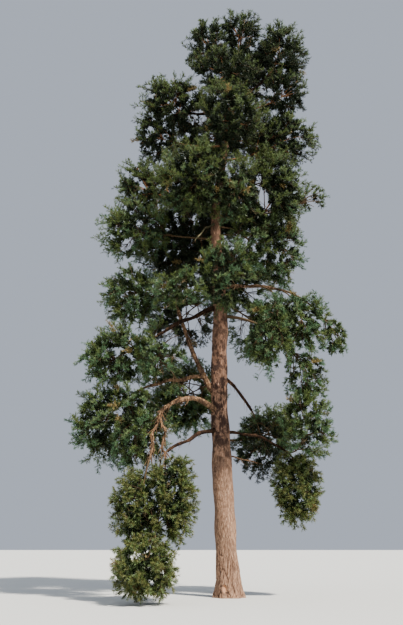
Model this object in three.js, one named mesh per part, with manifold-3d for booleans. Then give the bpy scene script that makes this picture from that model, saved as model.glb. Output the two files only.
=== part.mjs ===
// A mature scots pine, 23 m tall, standing alone in a park: one tall trunk with a flared foot, bare
// lower boughs that arch and hang, and a narrow, broken crown of separate needle masses.
// Millimetres, +Z up. The origin is the centre of the flat cut at ground level.
// +X is to the right of the view and +Y is away from the viewer. A bearing is measured in degrees
// from +X towards +Y, so 180 is left, 90 is the back of the tree and -90 is its front.
import * as THREE from "three";
import { mergeVertices } from "three/addons/utils/BufferGeometryUtils.js";
import Module from "manifold-3d";

const wasm = await Module();
wasm.setup();
const { Manifold } = wasm;

// Driving sizes of the whole tree
const TRUNK_TOP = 21900;
const CLEARANCE = 0.3; // gap left where one wooden piece meets another
const WALL_GAP = 25; // each mass stays this far from the flat wall it shares with a neighbour
const GROUND_GAP = 30; // the lowest needles stay this far above the ground
const LIMB_GAP = 60; // foliage stays this far from limbs of other pieces
const SLEEVE_SIDES = 4; // a core is cut clear of each limb through it by a square sleeve
const SLEEVE_RINGS = 7;
const SLEEVE_SCALE = 1.5;
const SLEEVE_GAP = 30;
const TRUNK_SLEEVE = 110;
const GOLDEN = Math.PI * (3 - Math.sqrt(5));
const UP = new THREE.Vector3(0, 0, 1);

// The trunk's centre line, as [height, sideways, away], and its radius, as [height, radius]
const TRUNK_LEAN = [
  [0, 0, 0],
  [4600, -200, 0],
  [7000, -260, 20],
  [9500, -200, 30],
  [13400, -340, 60],
  [16200, 30, 90],
  [19000, 500, 100],
  [TRUNK_TOP, 800, 150],
];
const TRUNK_TAPER = [
  [0, 366],
  [1700, 343],
  [4400, 328],
  [5600, 290],
  [8500, 270],
  [10500, 232],
  [13400, 172],
  [16200, 128],
  [19000, 82],
  [TRUNK_TOP, 22],
];
const FLARE_OUT = 95; // how far the foot swells beyond the log
const FLARE_HEIGHT = 420; // height over which the swelling dies away
const ROOT_TOES = [-8, 62, 128, 186, 243, 301]; // bearings of the root buttresses
const TOE_OUT = 90;
const TOE_WIDTH = 0.3; // radians

// The main boughs. foot is a height on the trunk, or the bough that this one leaves and how far
// along. tip is where it ends: [bearing, reach from the trunk's foot, height]. arch lifts the
// middle above the straight line, and crook is the size of its kinks.
const BOUGHS = [
  { name: "bough_arch", foot: 5850, tip: [-145, 2620, 5720], arch: 950, crook: 20, radii: [100, 66] },
  { name: "bough_hang_outer", foot: ["bough_arch", 1], tip: [-137, 3380, 4060], arch: 480, crook: 80,
    radii: [54, 34] },
  { name: "bough_hang_inner", foot: ["bough_hang_outer", 0.14], tip: [-134, 2860, 4120], arch: -40,
    crook: 90, radii: [42, 28], clearOf: ["bough_arch"] },
  { name: "bough_low_left", foot: 5380, tip: [-142, 2480, 4420], arch: 190, crook: 40,
    radii: [82, 40] },
  { name: "bough_steep_left", foot: 6300, tip: [-176, 1720, 9600], arch: -720, crook: 30,
    radii: [118, 56] },
  { name: "bough_fork_left", foot: ["bough_steep_left", 0.36], tip: [-172, 2650, 6780], arch: 120,
    crook: 40, radii: [70, 46] },
  { name: "bough_mid_left", foot: 9780, tip: [-165, 2480, 8500], arch: 190, crook: 40,
    radii: [84, 52] },
  { name: "bough_right_high", foot: 10500, tip: [-12, 1820, 10320], arch: 190, crook: 25,
    radii: [68, 48] },
  { name: "bough_right_drop", foot: 7330, tip: [24, 960, 6060], arch: 260, crook: 20,
    radii: [66, 40] },
  { name: "bough_right_low", foot: 5200, tip: [-4, 1960, 4600], arch: 450, crook: 30,
    radii: [54, 34] },
  { name: "bough_right_thin", foot: 4480, tip: [12, 1060, 4230], arch: 30, crook: 15,
    radii: [34, 16] },
  { name: "bough_upper_left", foot: 17500, tip: [-172, 1450, 17760], arch: 330, crook: 30,
    radii: [64, 42] },
  { name: "bough_top_right", foot: 18300, tip: [-2, 1900, 19750], arch: -160, crook: 25,
    radii: [60, 42] },
  { name: "bough_dead_front", foot: 13100, tip: [-128, 1800, 11750], arch: 240, crook: 30,
    radii: [46, 20] },
];

// The masses of foliage. at is the centre: [bearing, reach from the trunk's foot, height]. half is
// the half size: [outwards, sideways, up]. foot is where the stem starts, as for a bough. sprays is
// how many needle sprays are dealt round it. A loose mass is sprays alone, and every other mass has
// a rough solid core inside them.
const MASSES = [
  { name: "top_left", at: [-148, 520, 20920], half: [1340, 1210, 1280], foot: 19500, sprays: 8 },
  { name: "top_mid", at: [-25, 700, 21330], half: [1220, 1150, 1220], foot: 20500, sprays: 9 },
  { name: "top_right", at: [-2, 2200, 20520], half: [1420, 1420, 1680], foot: ["bough_top_right", 1],
    sprays: 11 },
  { name: "top_right_low", at: [-6, 2450, 18650], half: [1020, 1280, 1300], foot: 17950, sprays: 9 },
  { name: "top_under", at: [-92, 1120, 18900], half: [1250, 1720, 1200], foot: 18900, sprays: 6 },
  { name: "top_back", at: [48, 1750, 20700], half: [1500, 1700, 1500], foot: 19200, sprays: 7 },
  { name: "upper_left", at: [-168, 1880, 17980], half: [1940, 1490, 1360],
    foot: ["bough_upper_left", 1], sprays: 10 },
  { name: "upper_left_low", at: [166, 2740, 17300], half: [1200, 1280, 1360], foot: 16500, sprays: 6 },
  { name: "upper_front", at: [-86, 1840, 16560], half: [1440, 1590, 1580], foot: 16300, sprays: 8 },
  { name: "upper_right", at: [0, 2270, 16700], half: [1620, 1490, 1360], foot: 15850, sprays: 8 },
  { name: "upper_back", at: [104, 2050, 18100], half: [1580, 2130, 1680], foot: 17250, sprays: 8 },
  { name: "upper_back_right", at: [44, 2140, 18000], half: [1370, 1570, 1310], foot: 16900,
    sprays: 6 },
  { name: "mid_left_front", at: [-121, 2020, 13920], half: [1720, 1990, 1720], foot: 14300,
    sprays: 10 },
  { name: "mid_left_tip", at: [178, 3100, 14640], half: [1320, 1280, 1300], foot: 13900, sprays: 6 },
  { name: "mid_right", at: [-21, 1830, 13980], half: [1640, 1640, 2120], foot: 14900, sprays: 9 },
  { name: "mid_right_tip", at: [3, 3350, 14250], half: [720, 620, 560], foot: 13300, sprays: 6 },
  { name: "mid_front", at: [-78, 1930, 13310], half: [1230, 1110, 1720], foot: 13750, sprays: 6 },
  { name: "mid_back", at: [99, 2310, 14900], half: [1720, 2270, 1900], foot: 14050, sprays: 9 },
  { name: "mid_back_right", at: [45, 2550, 14700], half: [1580, 1700, 1750], foot: 13500, sprays: 7 },
  { name: "left_tip", at: [-174, 3320, 12600], half: [1680, 1420, 1460], foot: 12450, sprays: 8 },
  { name: "left_dark", at: [139, 2240, 12900], half: [1920, 2210, 2120], foot: 12050, sprays: 9 },
  { name: "right_side", at: [0, 2060, 12000], half: [1080, 1400, 2030], foot: 12950, sprays: 11,
    loose: true },
  { name: "right_inner", at: [-48, 1320, 11910], half: [840, 860, 1680], foot: 12550, sprays: 8,
    loose: true },
  { name: "back_mid", at: [82, 2580, 11800], half: [1640, 2060, 1830], foot: 11300, sprays: 7 },
  { name: "front_low", at: [-92, 1910, 10200], half: [1270, 1210, 1600], foot: 11000, sprays: 7 },
  { name: "left_front_low", at: [-125, 2800, 9560], half: [1130, 1170, 980], foot: 10350, sprays: 6 },
  { name: "left_low_tip", at: [-177, 3420, 10120], half: [1270, 1310, 1450],
    foot: ["bough_steep_left", 1], sprays: 7 },
  { name: "right_big_in", at: [-51, 2150, 8200], half: [980, 980, 1800],
    foot: ["bough_right_high", 0.6], sprays: 7 },
  { name: "right_big_out", at: [-18, 2620, 8820], half: [1300, 1370, 1420],
    foot: ["bough_right_high", 1], sprays: 8 },
  { name: "right_tip", at: [-3, 3820, 8530], half: [620, 740, 1020], foot: ["bough_right_high", 1],
    sprays: 6, clearOf: ["right_big_out"] },
  { name: "right_fringe", at: [-9, 2800, 7000], half: [920, 1100, 1150], foot: 9400, sprays: 10 },
  { name: "right_back", at: [57, 2650, 9600], half: [1530, 1580, 1640], foot: 10000, sprays: 7 },
  { name: "left_back", at: [128, 2750, 10000], half: [1450, 1600, 1600], foot: 10350, sprays: 7 },
  { name: "left_big_out", at: [-169, 3900, 7660], half: [1520, 1400, 1380],
    foot: ["bough_mid_left", 1], sprays: 8 },
  { name: "left_big_in", at: [-142, 2650, 7390], half: [1230, 1310, 1640], foot: ["bough_mid_left", 1],
    sprays: 7, clearOf: ["left_big_out"] },
  { name: "left_low_out", at: [-173, 4050, 5500], half: [1450, 1400, 1750],
    foot: ["bough_fork_left", 1], sprays: 7 },
  { name: "left_low_in", at: [-150, 3250, 5120], half: [1250, 1250, 1900],
    foot: ["bough_fork_left", 1], sprays: 6, clearOf: ["left_low_out"] },
  { name: "right_hang", at: [-16, 2700, 5390], half: [1100, 1100, 1600], foot: ["bough_right_low", 1],
    sprays: 9 },
  { name: "right_dark", at: [38, 1500, 4900], half: [1200, 1250, 1300], foot: ["bough_right_drop", 1],
    sprays: 6 },
  { name: "right_low", at: [0, 2290, 3450], half: [930, 1020, 1500], foot: ["bough_right_low", 1],
    sprays: 6, clearOf: ["right_hang"] },
  { name: "back_low_left", at: [125, 2610, 6900], half: [1470, 1850, 1780], foot: 7050, sprays: 7 },
  { name: "back_low_right", at: [52, 2800, 5600], half: [1270, 1310, 1150], foot: 5000, sprays: 6 },
  { name: "weep_left", at: [-141, 3500, 2600], half: [1000, 980, 1500], foot: ["bough_hang_outer", 1],
    sprays: 7 },
  { name: "weep_right", at: [-129, 2850, 2950], half: [900, 920, 1660], foot: ["bough_low_left", 1],
    sprays: 6 },
  { name: "weep_foot", at: [-131, 3840, 960], half: [1100, 1100, 1060], foot: ["bough_hang_inner", 1],
    sprays: 12 },
];

const SPRAY_SHARES = [0.99, 0.84, 0.7]; // how far out the sprays reach, the first that fits
const CORE_SHARE = 0.74; // half size of a mass's core, beside the mass's own
const CORE_ROUGH = 0.34; // how much the core's corners differ in reach, beside their mean
const STEM_RADIUS = 0.017; // radius of a stem's foot, beside its length
const STEM_MIN = 30;
const TIP_RADIUS = 10; // radius that a stem tapers to before its point
const TWIG_SLANT = 0.3; // how far back along its limb a twig starts, beside the mass's least half size
const TWIG_SHARE = 0.36; // share of a spray's length that is bare twig
const SPRAY_SINK = 0.03; // share of a spray's length that is sunk into its twig
const SPRAY_THICK = 0.03; // half thickness of a spray, beside its length
const SPRAY_WIDTH = 0.42; // half width of a spray, beside its length
const SPRAY_DROOP = 0.3; // how far a tooth hangs below the midrib, beside its width
// One side of the toothed outline: [share of the length, share of the half width]
const SPRAY_TEETH = [
  [0.4, 0.08],
  [0.66, 1],
  [0.72, 0.38],
];
const SPRAY_CENTRE = 0.62;
const SMALLEST_DETAIL = 2; // facets finer than this are merged

const COLOURS = {
  trunk: { color: "#8a6a58", roughness: 0.95 },
  bough: { color: "#a8673f", roughness: 0.9 },
  dead: { color: "#8f8a5c", roughness: 0.95 },
  needles: { color: "#47592f", roughness: 0.8 },
};

// A seeded draw between 0 and 1
function draw(seed) {
  const wave = Math.sin(seed * 12.9898 + 4.1414) * 43758.5453;
  return wave - Math.floor(wave);
}

// A point at a bearing in degrees, a reach and a height
function polar(bearing, reach, height) {
  const angle = THREE.MathUtils.degToRad(bearing);
  return new THREE.Vector3(reach * Math.cos(angle), reach * Math.sin(angle), height);
}

// The value of one column of a table at a height, on a smooth curve through its rows
function through(table, height, column) {
  const last = table.length - 2;
  let i = 0;
  while (i < last && height > table[i + 1][0]) i += 1;
  const [low, high] = [table[i], table[i + 1]];
  const before = table[Math.max(i - 1, 0)];
  const after = table[Math.min(i + 2, table.length - 1)];
  const span = high[0] - low[0];
  const t = Math.min(Math.max((height - low[0]) / span, 0), 1);
  const slopeLow = ((high[column] - before[column]) / (high[0] - before[0])) * span;
  const slopeHigh = ((after[column] - low[column]) / (after[0] - low[0])) * span;
  const bend = high[column] - low[column];
  return (
    low[column] +
    slopeLow * t +
    (3 * bend - 2 * slopeLow - slopeHigh) * t * t +
    (slopeLow + slopeHigh - 2 * bend) * t * t * t
  );
}

const trunkPoint = (height) =>
  new THREE.Vector3(through(TRUNK_LEAN, height, 1), through(TRUNK_LEAN, height, 2), height);

// The trunk's radius at a height and an angle, with the flare and its buttresses at the foot
function trunkRadius(height, angle) {
  const fade = Math.exp(-height / FLARE_HEIGHT);
  const toes = ROOT_TOES.reduce((sum, bearing) => {
    const away = Math.abs(Math.sin((angle - THREE.MathUtils.degToRad(bearing)) / 2)) * 2;
    return sum + Math.exp(-((away / TOE_WIDTH) ** 2));
  }, 0);
  return through(TRUNK_TAPER, height, 1) + fade * (FLARE_OUT + TOE_OUT * toes);
}

// A mesh's geometry as a solid
function solidOf(geometry) {
  const bare = geometry.index ? geometry.toNonIndexed() : geometry.clone();
  bare.deleteAttribute("normal");
  bare.deleteAttribute("uv");
  const merged = mergeVertices(bare, 1e-3);
  return new Manifold(
    new wasm.Mesh({
      numProp: 3,
      vertProperties: new Float32Array(merged.attributes.position.array),
      triVerts: new Uint32Array(merged.index.array),
    }),
  );
}

// A solid as a geometry
function geometryOf(solid) {
  const mesh = solid.getMesh();
  const points = new Float32Array(mesh.numVert * 3);
  for (let i = 0; i < mesh.numVert; i += 1) {
    points.set(mesh.vertProperties.subarray(i * mesh.numProp, i * mesh.numProp + 3), i * 3);
  }
  const geometry = new THREE.BufferGeometry();
  geometry.setAttribute("position", new THREE.BufferAttribute(points, 3));
  geometry.setIndex(new THREE.BufferAttribute(new Uint32Array(mesh.triVerts), 1));
  geometry.computeVertexNormals();
  return geometry;
}

// The largest body of a solid, so that a loose scrap is dropped
function largest(solid) {
  return solid.decompose().reduce((best, body) => (body.volume() > best.volume() ? body : best));
}

// A tapered cylinder bent along a path: path(t) is its centre, radius(t, angle) its radius, and
// side a direction square to the whole path
function bentCylinder(path, radius, side, sides, rings, pointed) {
  const geometry = new THREE.CylinderGeometry(pointed ? 0 : 1, 1, 1, sides, rings);
  const position = geometry.attributes.position;
  const step = 1e-3;
  for (let i = 0; i < position.count; i += 1) {
    const t = position.getY(i) + 0.5;
    const centre = path(t);
    const ahead = path(t + step).sub(path(t - step)).normalize();
    const across = side.clone().addScaledVector(ahead, -side.dot(ahead)).normalize();
    const above = new THREE.Vector3().crossVectors(ahead, across);
    const angle = Math.atan2(position.getZ(i), position.getX(i));
    const isRim = Math.hypot(position.getX(i), position.getZ(i)) > 1e-6;
    const out = isRim ? radius(t, angle) : 0;
    centre.addScaledVector(across, out * Math.cos(angle));
    centre.addScaledVector(above, -out * Math.sin(angle));
    position.setXYZ(i, centre.x, centre.y, centre.z);
  }
  return solidOf(geometry);
}

// A limb from foot to tip that bows towards bend, with small kinks, as a path and a side direction
function bowedPath(foot, bend, tip, crook = 0, seed = 0) {
  const curve = new THREE.QuadraticBezierCurve3(foot, bend, tip);
  const side = new THREE.Vector3().crossVectors(bend.clone().sub(foot), tip.clone().sub(foot));
  if (side.length() < 1) side.crossVectors(tip.clone().sub(foot), new THREE.Vector3(0.3, 1, 0.2));
  side.normalize();
  const phase = draw(seed) * Math.PI * 2;
  const path = (t) => {
    const fade = Math.sin(Math.PI * Math.min(Math.max(t, 0), 1));
    const point = curve.getPoint(Math.min(Math.max(t, 0), 1));
    const over = t - Math.min(Math.max(t, 0), 1); // past either end the path runs on straight
    point.addScaledVector(curve.getTangent(Math.min(Math.max(t, 0), 1)), over * curve.getLength());
    point.addScaledVector(side, crook * fade * Math.sin(phase + 9 * t));
    point.z += crook * fade * Math.sin(phase * 2 + 12 * t);
    return point;
  };
  return { path, side };
}

// A limb: its path, its radii at foot and tip, its solid, and the points that foliage keeps off
function makeLimb(name, { path, side }, radii, { sides, rings, pointed = false }) {
  const taper = (t) => radii[0] + (radii[1] - radii[0]) * Math.min(Math.max(t, 0), 1) ** 0.8;
  const length = path(0).distanceTo(path(1));
  const build = (extra) => {
    const longer = (t) => path(t + ((2 * t - 1) * extra) / length);
    return bentCylinder(longer, (t) => taper(t) + extra, side, sides, rings, pointed);
  };
  const sleeve = () => {
    const longer = (t) => path(t + ((2 * t - 1) * SLEEVE_GAP) / length);
    const radius = (t) => SLEEVE_SCALE * taper(t) + SLEEVE_GAP;
    return bentCylinder(longer, radius, side, SLEEVE_SIDES, SLEEVE_RINGS, false);
  };
  const points = Array.from({ length: rings + 1 }, (_, i) => path(i / rings));
  return { name, path, taper, solid: build(0), clear: () => build(CLEARANCE), sleeve, points, radii };
}

// The point where a limb starts, and the direction that it starts in
function footOf(foot, limbs, towards) {
  if (typeof foot === "number") {
    const point = trunkPoint(foot);
    return { point, ahead: towards.clone().sub(point).setZ(0).normalize(), parents: ["trunk"] };
  }
  const [name, along] = foot;
  const parent = limbs.get(name);
  const point = parent.path(along);
  const ahead = parent.path(along + 0.01).sub(parent.path(along - 0.01)).normalize();
  if (along === 1) point.addScaledVector(ahead, CLEARANCE);
  return { point, ahead, parents: [name] };
}

// Distance from a point to a line of points with a radius at each end
function distanceToLimb(point, limb) {
  let least = Infinity;
  const segment = new THREE.Line3();
  const nearest = new THREE.Vector3();
  for (let i = 0; i + 1 < limb.points.length; i += 1) {
    segment.set(limb.points[i], limb.points[i + 1]);
    segment.closestPointToPoint(point, true, nearest);
    least = Math.min(least, nearest.distanceTo(point) - limb.taper(i / (limb.points.length - 1)));
  }
  return least;
}

// The trunk
function makeTrunk() {
  const heights = [0, 120, 280, 520, 900, 1500, 2600, 3900, 5200, 6600, 8200, 9800, 11600, 13400, 14900,
    16200, 17600, 19000, 20500, TRUNK_TOP];
  const rings = heights.length - 1;
  const heightAt = (t) => {
    const place = Math.min(Math.max(t, 0), 1) * rings;
    const i = Math.min(Math.floor(place), rings - 1);
    return heights[i] + (heights[i + 1] - heights[i]) * (place - i);
  };
  const build = (extra, sides = 18) => {
    const geometry = new THREE.CylinderGeometry(1, 1, 1, sides, rings);
    const position = geometry.attributes.position;
    for (let i = 0; i < position.count; i += 1) {
      const height = heightAt(position.getY(i) + 0.5);
      const angle = Math.atan2(-position.getZ(i), position.getX(i));
      const isRim = Math.hypot(position.getX(i), position.getZ(i)) > 1e-6;
      const out = isRim ? trunkRadius(height, angle) + extra : 0;
      const centre = trunkPoint(height);
      position.setXYZ(i, centre.x + out * Math.cos(angle), centre.y + out * Math.sin(angle), height);
    }
    return solidOf(geometry);
  };
  const points = heights.map((height) => trunkPoint(height));
  const path = (t) => trunkPoint(heightAt(t));
  const taper = (t) => trunkRadius(heightAt(t), 0);
  const sleeve = () => build(TRUNK_SLEEVE, SLEEVE_SIDES);
  return { name: "trunk", path, taper, solid: build(0), clear: () => build(CLEARANCE), sleeve, points };
}

// A main bough: one tapering limb, cut clear of what it grows from
function makeBough(size, limbs, seed) {
  const tip = polar(...size.tip);
  const { point, parents } = footOf(size.foot, limbs, tip);
  const bend = point.clone().lerp(tip, 0.5);
  bend.z += size.arch;
  const limb = makeLimb(size.name, bowedPath(point, bend, tip, size.crook, seed), size.radii, {
    sides: 6,
    rings: 7,
  });
  for (const parent of [...parents, ...(size.clearOf ?? [])]) {
    limb.solid = largest(limb.solid.subtract(limbs.get(parent).clear()));
  }
  return limb;
}

// The space of a mass: its centre, its axes and its half sizes
function spaceOf(size) {
  const [bearing] = size.at;
  const axes = [polar(bearing, 1, 0), polar(bearing + 90, 1, 0), UP.clone()];
  return { centre: polar(...size.at), axes, half: size.half, walls: [] };
}

// A point of a mass's space, from a direction on the unit sphere and a share of the half size
function pointIn(space, direction, share) {
  const point = space.centre.clone();
  space.axes.forEach((axis, i) => {
    point.addScaledVector(axis, direction.getComponent(i) * space.half[i] * share);
  });
  return point;
}

// Flat walls half way between each two spaces that meet, so that every mass keeps to its own
function shareOut(spaces) {
  const spread = (space, line) => Math.hypot(...space.axes.map((a, i) => a.dot(line) * space.half[i]));
  spaces.forEach((one, i) => {
    for (const other of spaces.slice(i + 1)) {
      const line = other.centre.clone().sub(one.centre);
      const apart = line.length();
      line.normalize();
      const [mine, its] = [spread(one, line), spread(other, line)];
      if (mine + its + 2 * WALL_GAP < apart) continue;
      const place = line.dot(one.centre) + (apart * mine) / (mine + its);
      one.walls.push({ line, limit: place - WALL_GAP });
      other.walls.push({ line: line.clone().negate(), limit: -place - WALL_GAP });
    }
  });
}

function isInside(space, point) {
  const offset = point.clone().sub(space.centre);
  const size = Math.hypot(...space.axes.map((axis, i) => axis.dot(offset) / space.half[i]));
  const kept = space.walls.every(({ line, limit }) => line.dot(point) < limit);
  return size < 1.001 && kept && point.z > GROUND_GAP;
}

// Directions dealt evenly over the sphere by the golden angle, each moved a little by a seeded draw
function evenDirections(count, seed) {
  return Array.from({ length: count }, (_, k) => {
    const up = 1 - (2 * k + 1) / count;
    const turn = k * GOLDEN + draw(seed) * Math.PI * 2 + (draw(seed + k * 7 + 1) - 0.5) * 0.5;
    const level = Math.sqrt(1 - up * up);
    return new THREE.Vector3(level * Math.cos(turn), level * Math.sin(turn), up);
  });
}

// The place where a twig to an end starts: the nearest on the limbs given, moved back towards that
// limb's foot
function twigFoot(end, limbs, back) {
  let best = { distance: Infinity };
  for (const limb of limbs) {
    for (let t = limb.from; t <= 1; t += 0.05) {
      const distance = limb.path(t).distanceTo(end);
      if (distance < best.distance) best = { distance, limb, t };
    }
  }
  const length = best.limb.path(0).distanceTo(best.limb.path(1));
  return best.limb.path(Math.max(best.t - back / length, best.limb.from));
}

// A spray of needles: a thin toothed blade from foot to tip, with its teeth hanging a little
function sprayBlade(foot, tip, roll) {
  const along = tip.clone().sub(foot);
  const length = along.length();
  along.normalize();
  const across = new THREE.Vector3().crossVectors(UP, along);
  if (across.length() < 0.05) across.set(1, 0, 0);
  across.normalize().applyAxisAngle(along, roll);
  const above = new THREE.Vector3().crossVectors(along, across);
  const place = (u, v, w) =>
    foot
      .clone()
      .addScaledVector(along, u * length)
      .addScaledVector(across, v * length * SPRAY_WIDTH)
      .addScaledVector(above, (w - Math.abs(v) * SPRAY_WIDTH * SPRAY_DROOP) * length);
  const start = -SPRAY_SINK;
  const right = SPRAY_TEETH.map(([u, v]) => place(u, v, 0));
  const left = SPRAY_TEETH.map(([u, v]) => place(u, -v, 0)).reverse();
  const rim = [place(start, 0, 0), ...right, place(1, 0, 0), ...left];
  const top = place(SPRAY_CENTRE, 0, SPRAY_THICK);
  const bottom = place(SPRAY_CENTRE, 0, -SPRAY_THICK);
  const corners = [];
  rim.forEach((point, i) => {
    const next = rim[(i + 1) % rim.length];
    corners.push(next, point, top, point, next, bottom);
  });
  return { solid: solidOf(new THREE.BufferGeometry().setFromPoints(corners)), rim };
}

// Points that stand for a blade when it is tested against limbs
function bladeProbes(rim, foot, tip) {
  const probes = [...rim.slice(1)];
  for (let t = 0.2; t < 1; t += 0.1) probes.push(foot.clone().lerp(tip, t));
  const middle = foot.clone().lerp(tip, SPRAY_CENTRE);
  for (const share of [0.35, 0.7]) {
    probes.push(...rim.slice(1).map((point) => middle.clone().lerp(point, share)));
  }
  return probes;
}

// The stem of a mass, from its bough's tip or the trunk to beyond the mass's centre
function makeStem(size, space, limbs) {
  const { point, ahead, parents } = footOf(size.foot, limbs, space.centre);
  const whole = space.centre.distanceTo(point);
  const far = space.centre.clone().addScaledVector(
    space.centre.clone().sub(point).normalize(),
    0.3 * Math.min(...size.half),
  );
  const bend = point.clone().addScaledVector(ahead, whole * 0.5);
  const radius = Math.max(STEM_MIN, whole * STEM_RADIUS);
  const parent = limbs.get(parents[0]);
  const footRadius = typeof size.foot === "number" ? radius : Math.min(radius, parent.radii[1] * 0.9);
  const stem = makeLimb(size.name, bowedPath(point, bend, far), [footRadius, TIP_RADIUS], {
    sides: 4,
    rings: 3,
    pointed: true,
  });
  stem.cuts = [...parents, ...(size.clearOf ?? [])].map((other) => limbs.get(other).clear());
  stem.from = 1 - Math.min(0.6, Math.min(...size.half) / whole);
  return stem;
}

// The core of a mass: a rough ball inside its space, cut clear of every limb that runs through it
function makeCore(size, space, others, seed) {
  const ball = new THREE.IcosahedronGeometry(1, 0);
  const place = ball.attributes.position;
  for (let i = 0; i < place.count; i += 1) {
    const way = new THREE.Vector3().fromBufferAttribute(place, i);
    const rough = 1 + CORE_ROUGH * (draw(Math.round(way.x * 97 + way.y * 57 + way.z * 31) + seed) - 0.5);
    const point = pointIn(space, way, CORE_SHARE * rough);
    place.setXYZ(i, point.x, point.y, point.z);
  }
  let core = solidOf(ball);
  for (const { line, limit } of space.walls) {
    core = core.trimByPlane(line.clone().negate().toArray(), -limit);
  }
  for (const limb of others) {
    const isNear = distanceToLimb(space.centre, limb) < Math.max(...size.half);
    if (isNear) core = core.subtract(limb.sleeve());
  }
  return core;
}

// A mass of foliage: sprays dealt evenly over its space, each grown back to the stem or to the twig of
// an earlier spray. A spray that would leave the space is drawn in, and one that would still leave it
// or touch a limb of another piece is skipped.
function growMass(size, space, stem, others, seed) {
  const solids = [stem.solid];
  if (!size.loose) solids.push(largest(makeCore(size, space, others, seed)));
  const wood = [stem];
  evenDirections(size.sprays, seed + 3).forEach((way, k) => {
    const roll = (draw(seed + k * 5 + 2) - 0.5) * Math.PI;
    for (const share of SPRAY_SHARES) {
      const tip = pointIn(space, way, share);
      const foot = twigFoot(tip, wood, TWIG_SLANT * Math.min(...size.half));
      const blade = sprayBlade(foot, tip, roll);
      const probes = bladeProbes(blade.rim, foot, tip);
      const isFree = blade.rim.slice(1).every((p) => isInside(space, p));
      const isClear = others.every((limb) => probes.every((p) => distanceToLimb(p, limb) > LIMB_GAP));
      if (isFree && isClear) {
        solids.push(blade.solid);
        wood.push({ path: (t) => foot.clone().lerp(tip, t * TWIG_SHARE), from: 0.5 });
        break;
      }
    }
  });
  const mass = Manifold.union(solids).simplify(SMALLEST_DETAIL);
  return largest(mass.subtract(Manifold.union(stem.cuts)));
}

// The whole tree
function makeTree() {
  const group = new THREE.Group();
  const materials = Object.fromEntries(
    Object.entries(COLOURS).map(([name, look]) => [
      name,
      new THREE.MeshStandardMaterial({ ...look, metalness: 0, flatShading: true }),
    ]),
  );
  const add = (name, solid, material) => {
    const mesh = new THREE.Mesh(geometryOf(solid), materials[material]);
    mesh.name = name;
    group.add(mesh);
  };
  const limbs = new Map([["trunk", makeTrunk()]]);
  BOUGHS.forEach((size, i) => limbs.set(size.name, makeBough(size, limbs, i + 11)));
  for (const limb of limbs.values()) {
    const look = limb.name === "trunk" ? "trunk" : limb.name.includes("dead") ? "dead" : "bough";
    add(limb.name, limb.solid, look);
  }
  const spaces = MASSES.map(spaceOf);
  shareOut(spaces);
  MASSES.forEach((size, i) => limbs.set(size.name, makeStem(size, spaces[i], limbs)));
  MASSES.forEach((size, i) => {
    const others = [...limbs.values()].filter((limb) => limb.name !== size.name);
    add(size.name, growMass(size, spaces[i], limbs.get(size.name), others, i * 17 + 5), "needles");
  });
  return group;
}

const tree = makeTree();
export default tree;
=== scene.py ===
# %% [markdown]
# # A mature scots pine
#
# This lesson builds a whole tree from the outside in, the way a forester would describe it: a trunk
# with plated bark, bare boughs that arch and hang, and a crown made of separate masses of foliage. The
# solids of the same tree are loaded first as a fixed frame. Everything made here sits on that frame, in
# metres, with +Z up, +X to the right of the view and +Y away from the viewer.

# %% Load the frame
import math

import bpy
import numpy as np
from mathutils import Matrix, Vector


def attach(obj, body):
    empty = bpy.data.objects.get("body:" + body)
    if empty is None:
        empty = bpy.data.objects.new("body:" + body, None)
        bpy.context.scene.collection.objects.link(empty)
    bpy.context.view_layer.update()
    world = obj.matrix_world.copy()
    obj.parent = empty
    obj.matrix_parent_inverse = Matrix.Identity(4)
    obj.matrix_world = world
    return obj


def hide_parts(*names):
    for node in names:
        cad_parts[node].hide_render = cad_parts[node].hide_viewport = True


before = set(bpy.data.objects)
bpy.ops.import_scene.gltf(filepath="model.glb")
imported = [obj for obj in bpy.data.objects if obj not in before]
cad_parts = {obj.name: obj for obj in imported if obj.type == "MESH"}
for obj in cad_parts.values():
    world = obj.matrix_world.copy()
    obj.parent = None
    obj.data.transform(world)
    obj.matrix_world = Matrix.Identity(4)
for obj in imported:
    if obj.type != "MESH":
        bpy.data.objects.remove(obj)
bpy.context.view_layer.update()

# %% [markdown]
# ## The camera
#
# The photo was taken standing, with the lens tilted up, so the trunk's foot is near the picture's lower
# edge. A camera at eye height, turned up by the same angle, draws the same narrowing towards the top. A
# shifted lens would keep the trunk's sides parallel instead, so the tilt is the right way here.

# %% Stand the camera on the lawn
EYE_HEIGHT = 1.6
CAMERA_PLACE = (-0.875, -23.98, EYE_HEIGHT)
CAMERA_TILT = math.radians(18.337)  # above the level
FOCAL_PIXELS = 700.0
PICTURE_WIDTH, PICTURE_HEIGHT = 403.0, 625.0
SENSOR = 36.0

camera_data = bpy.data.cameras.new("camera")
camera_data.sensor_width = SENSOR
camera_data.lens = FOCAL_PIXELS / PICTURE_HEIGHT * SENSOR
camera_data.clip_end = 500.0
camera = bpy.data.objects.new("camera", camera_data)
camera.location = CAMERA_PLACE
camera.rotation_euler = (math.pi / 2 + CAMERA_TILT, 0.0, 0.0)
bpy.context.scene.collection.objects.link(camera)
bpy.context.scene.camera = camera
print("lens", round(camera_data.lens, 2), "mm")

# %% [markdown]
# ## The tree's sizes
#
# These are the same driving sizes as the frame's, in metres: the trunk's lean and taper, each bough's
# foot and tip, and the space that each mass of foliage fills. Keeping one table for both means that the
# fine tree grows exactly where the frame's solids are. A bearing is measured in degrees from +X towards
# +Y, so 180 is left and -90 is the front.

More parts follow.
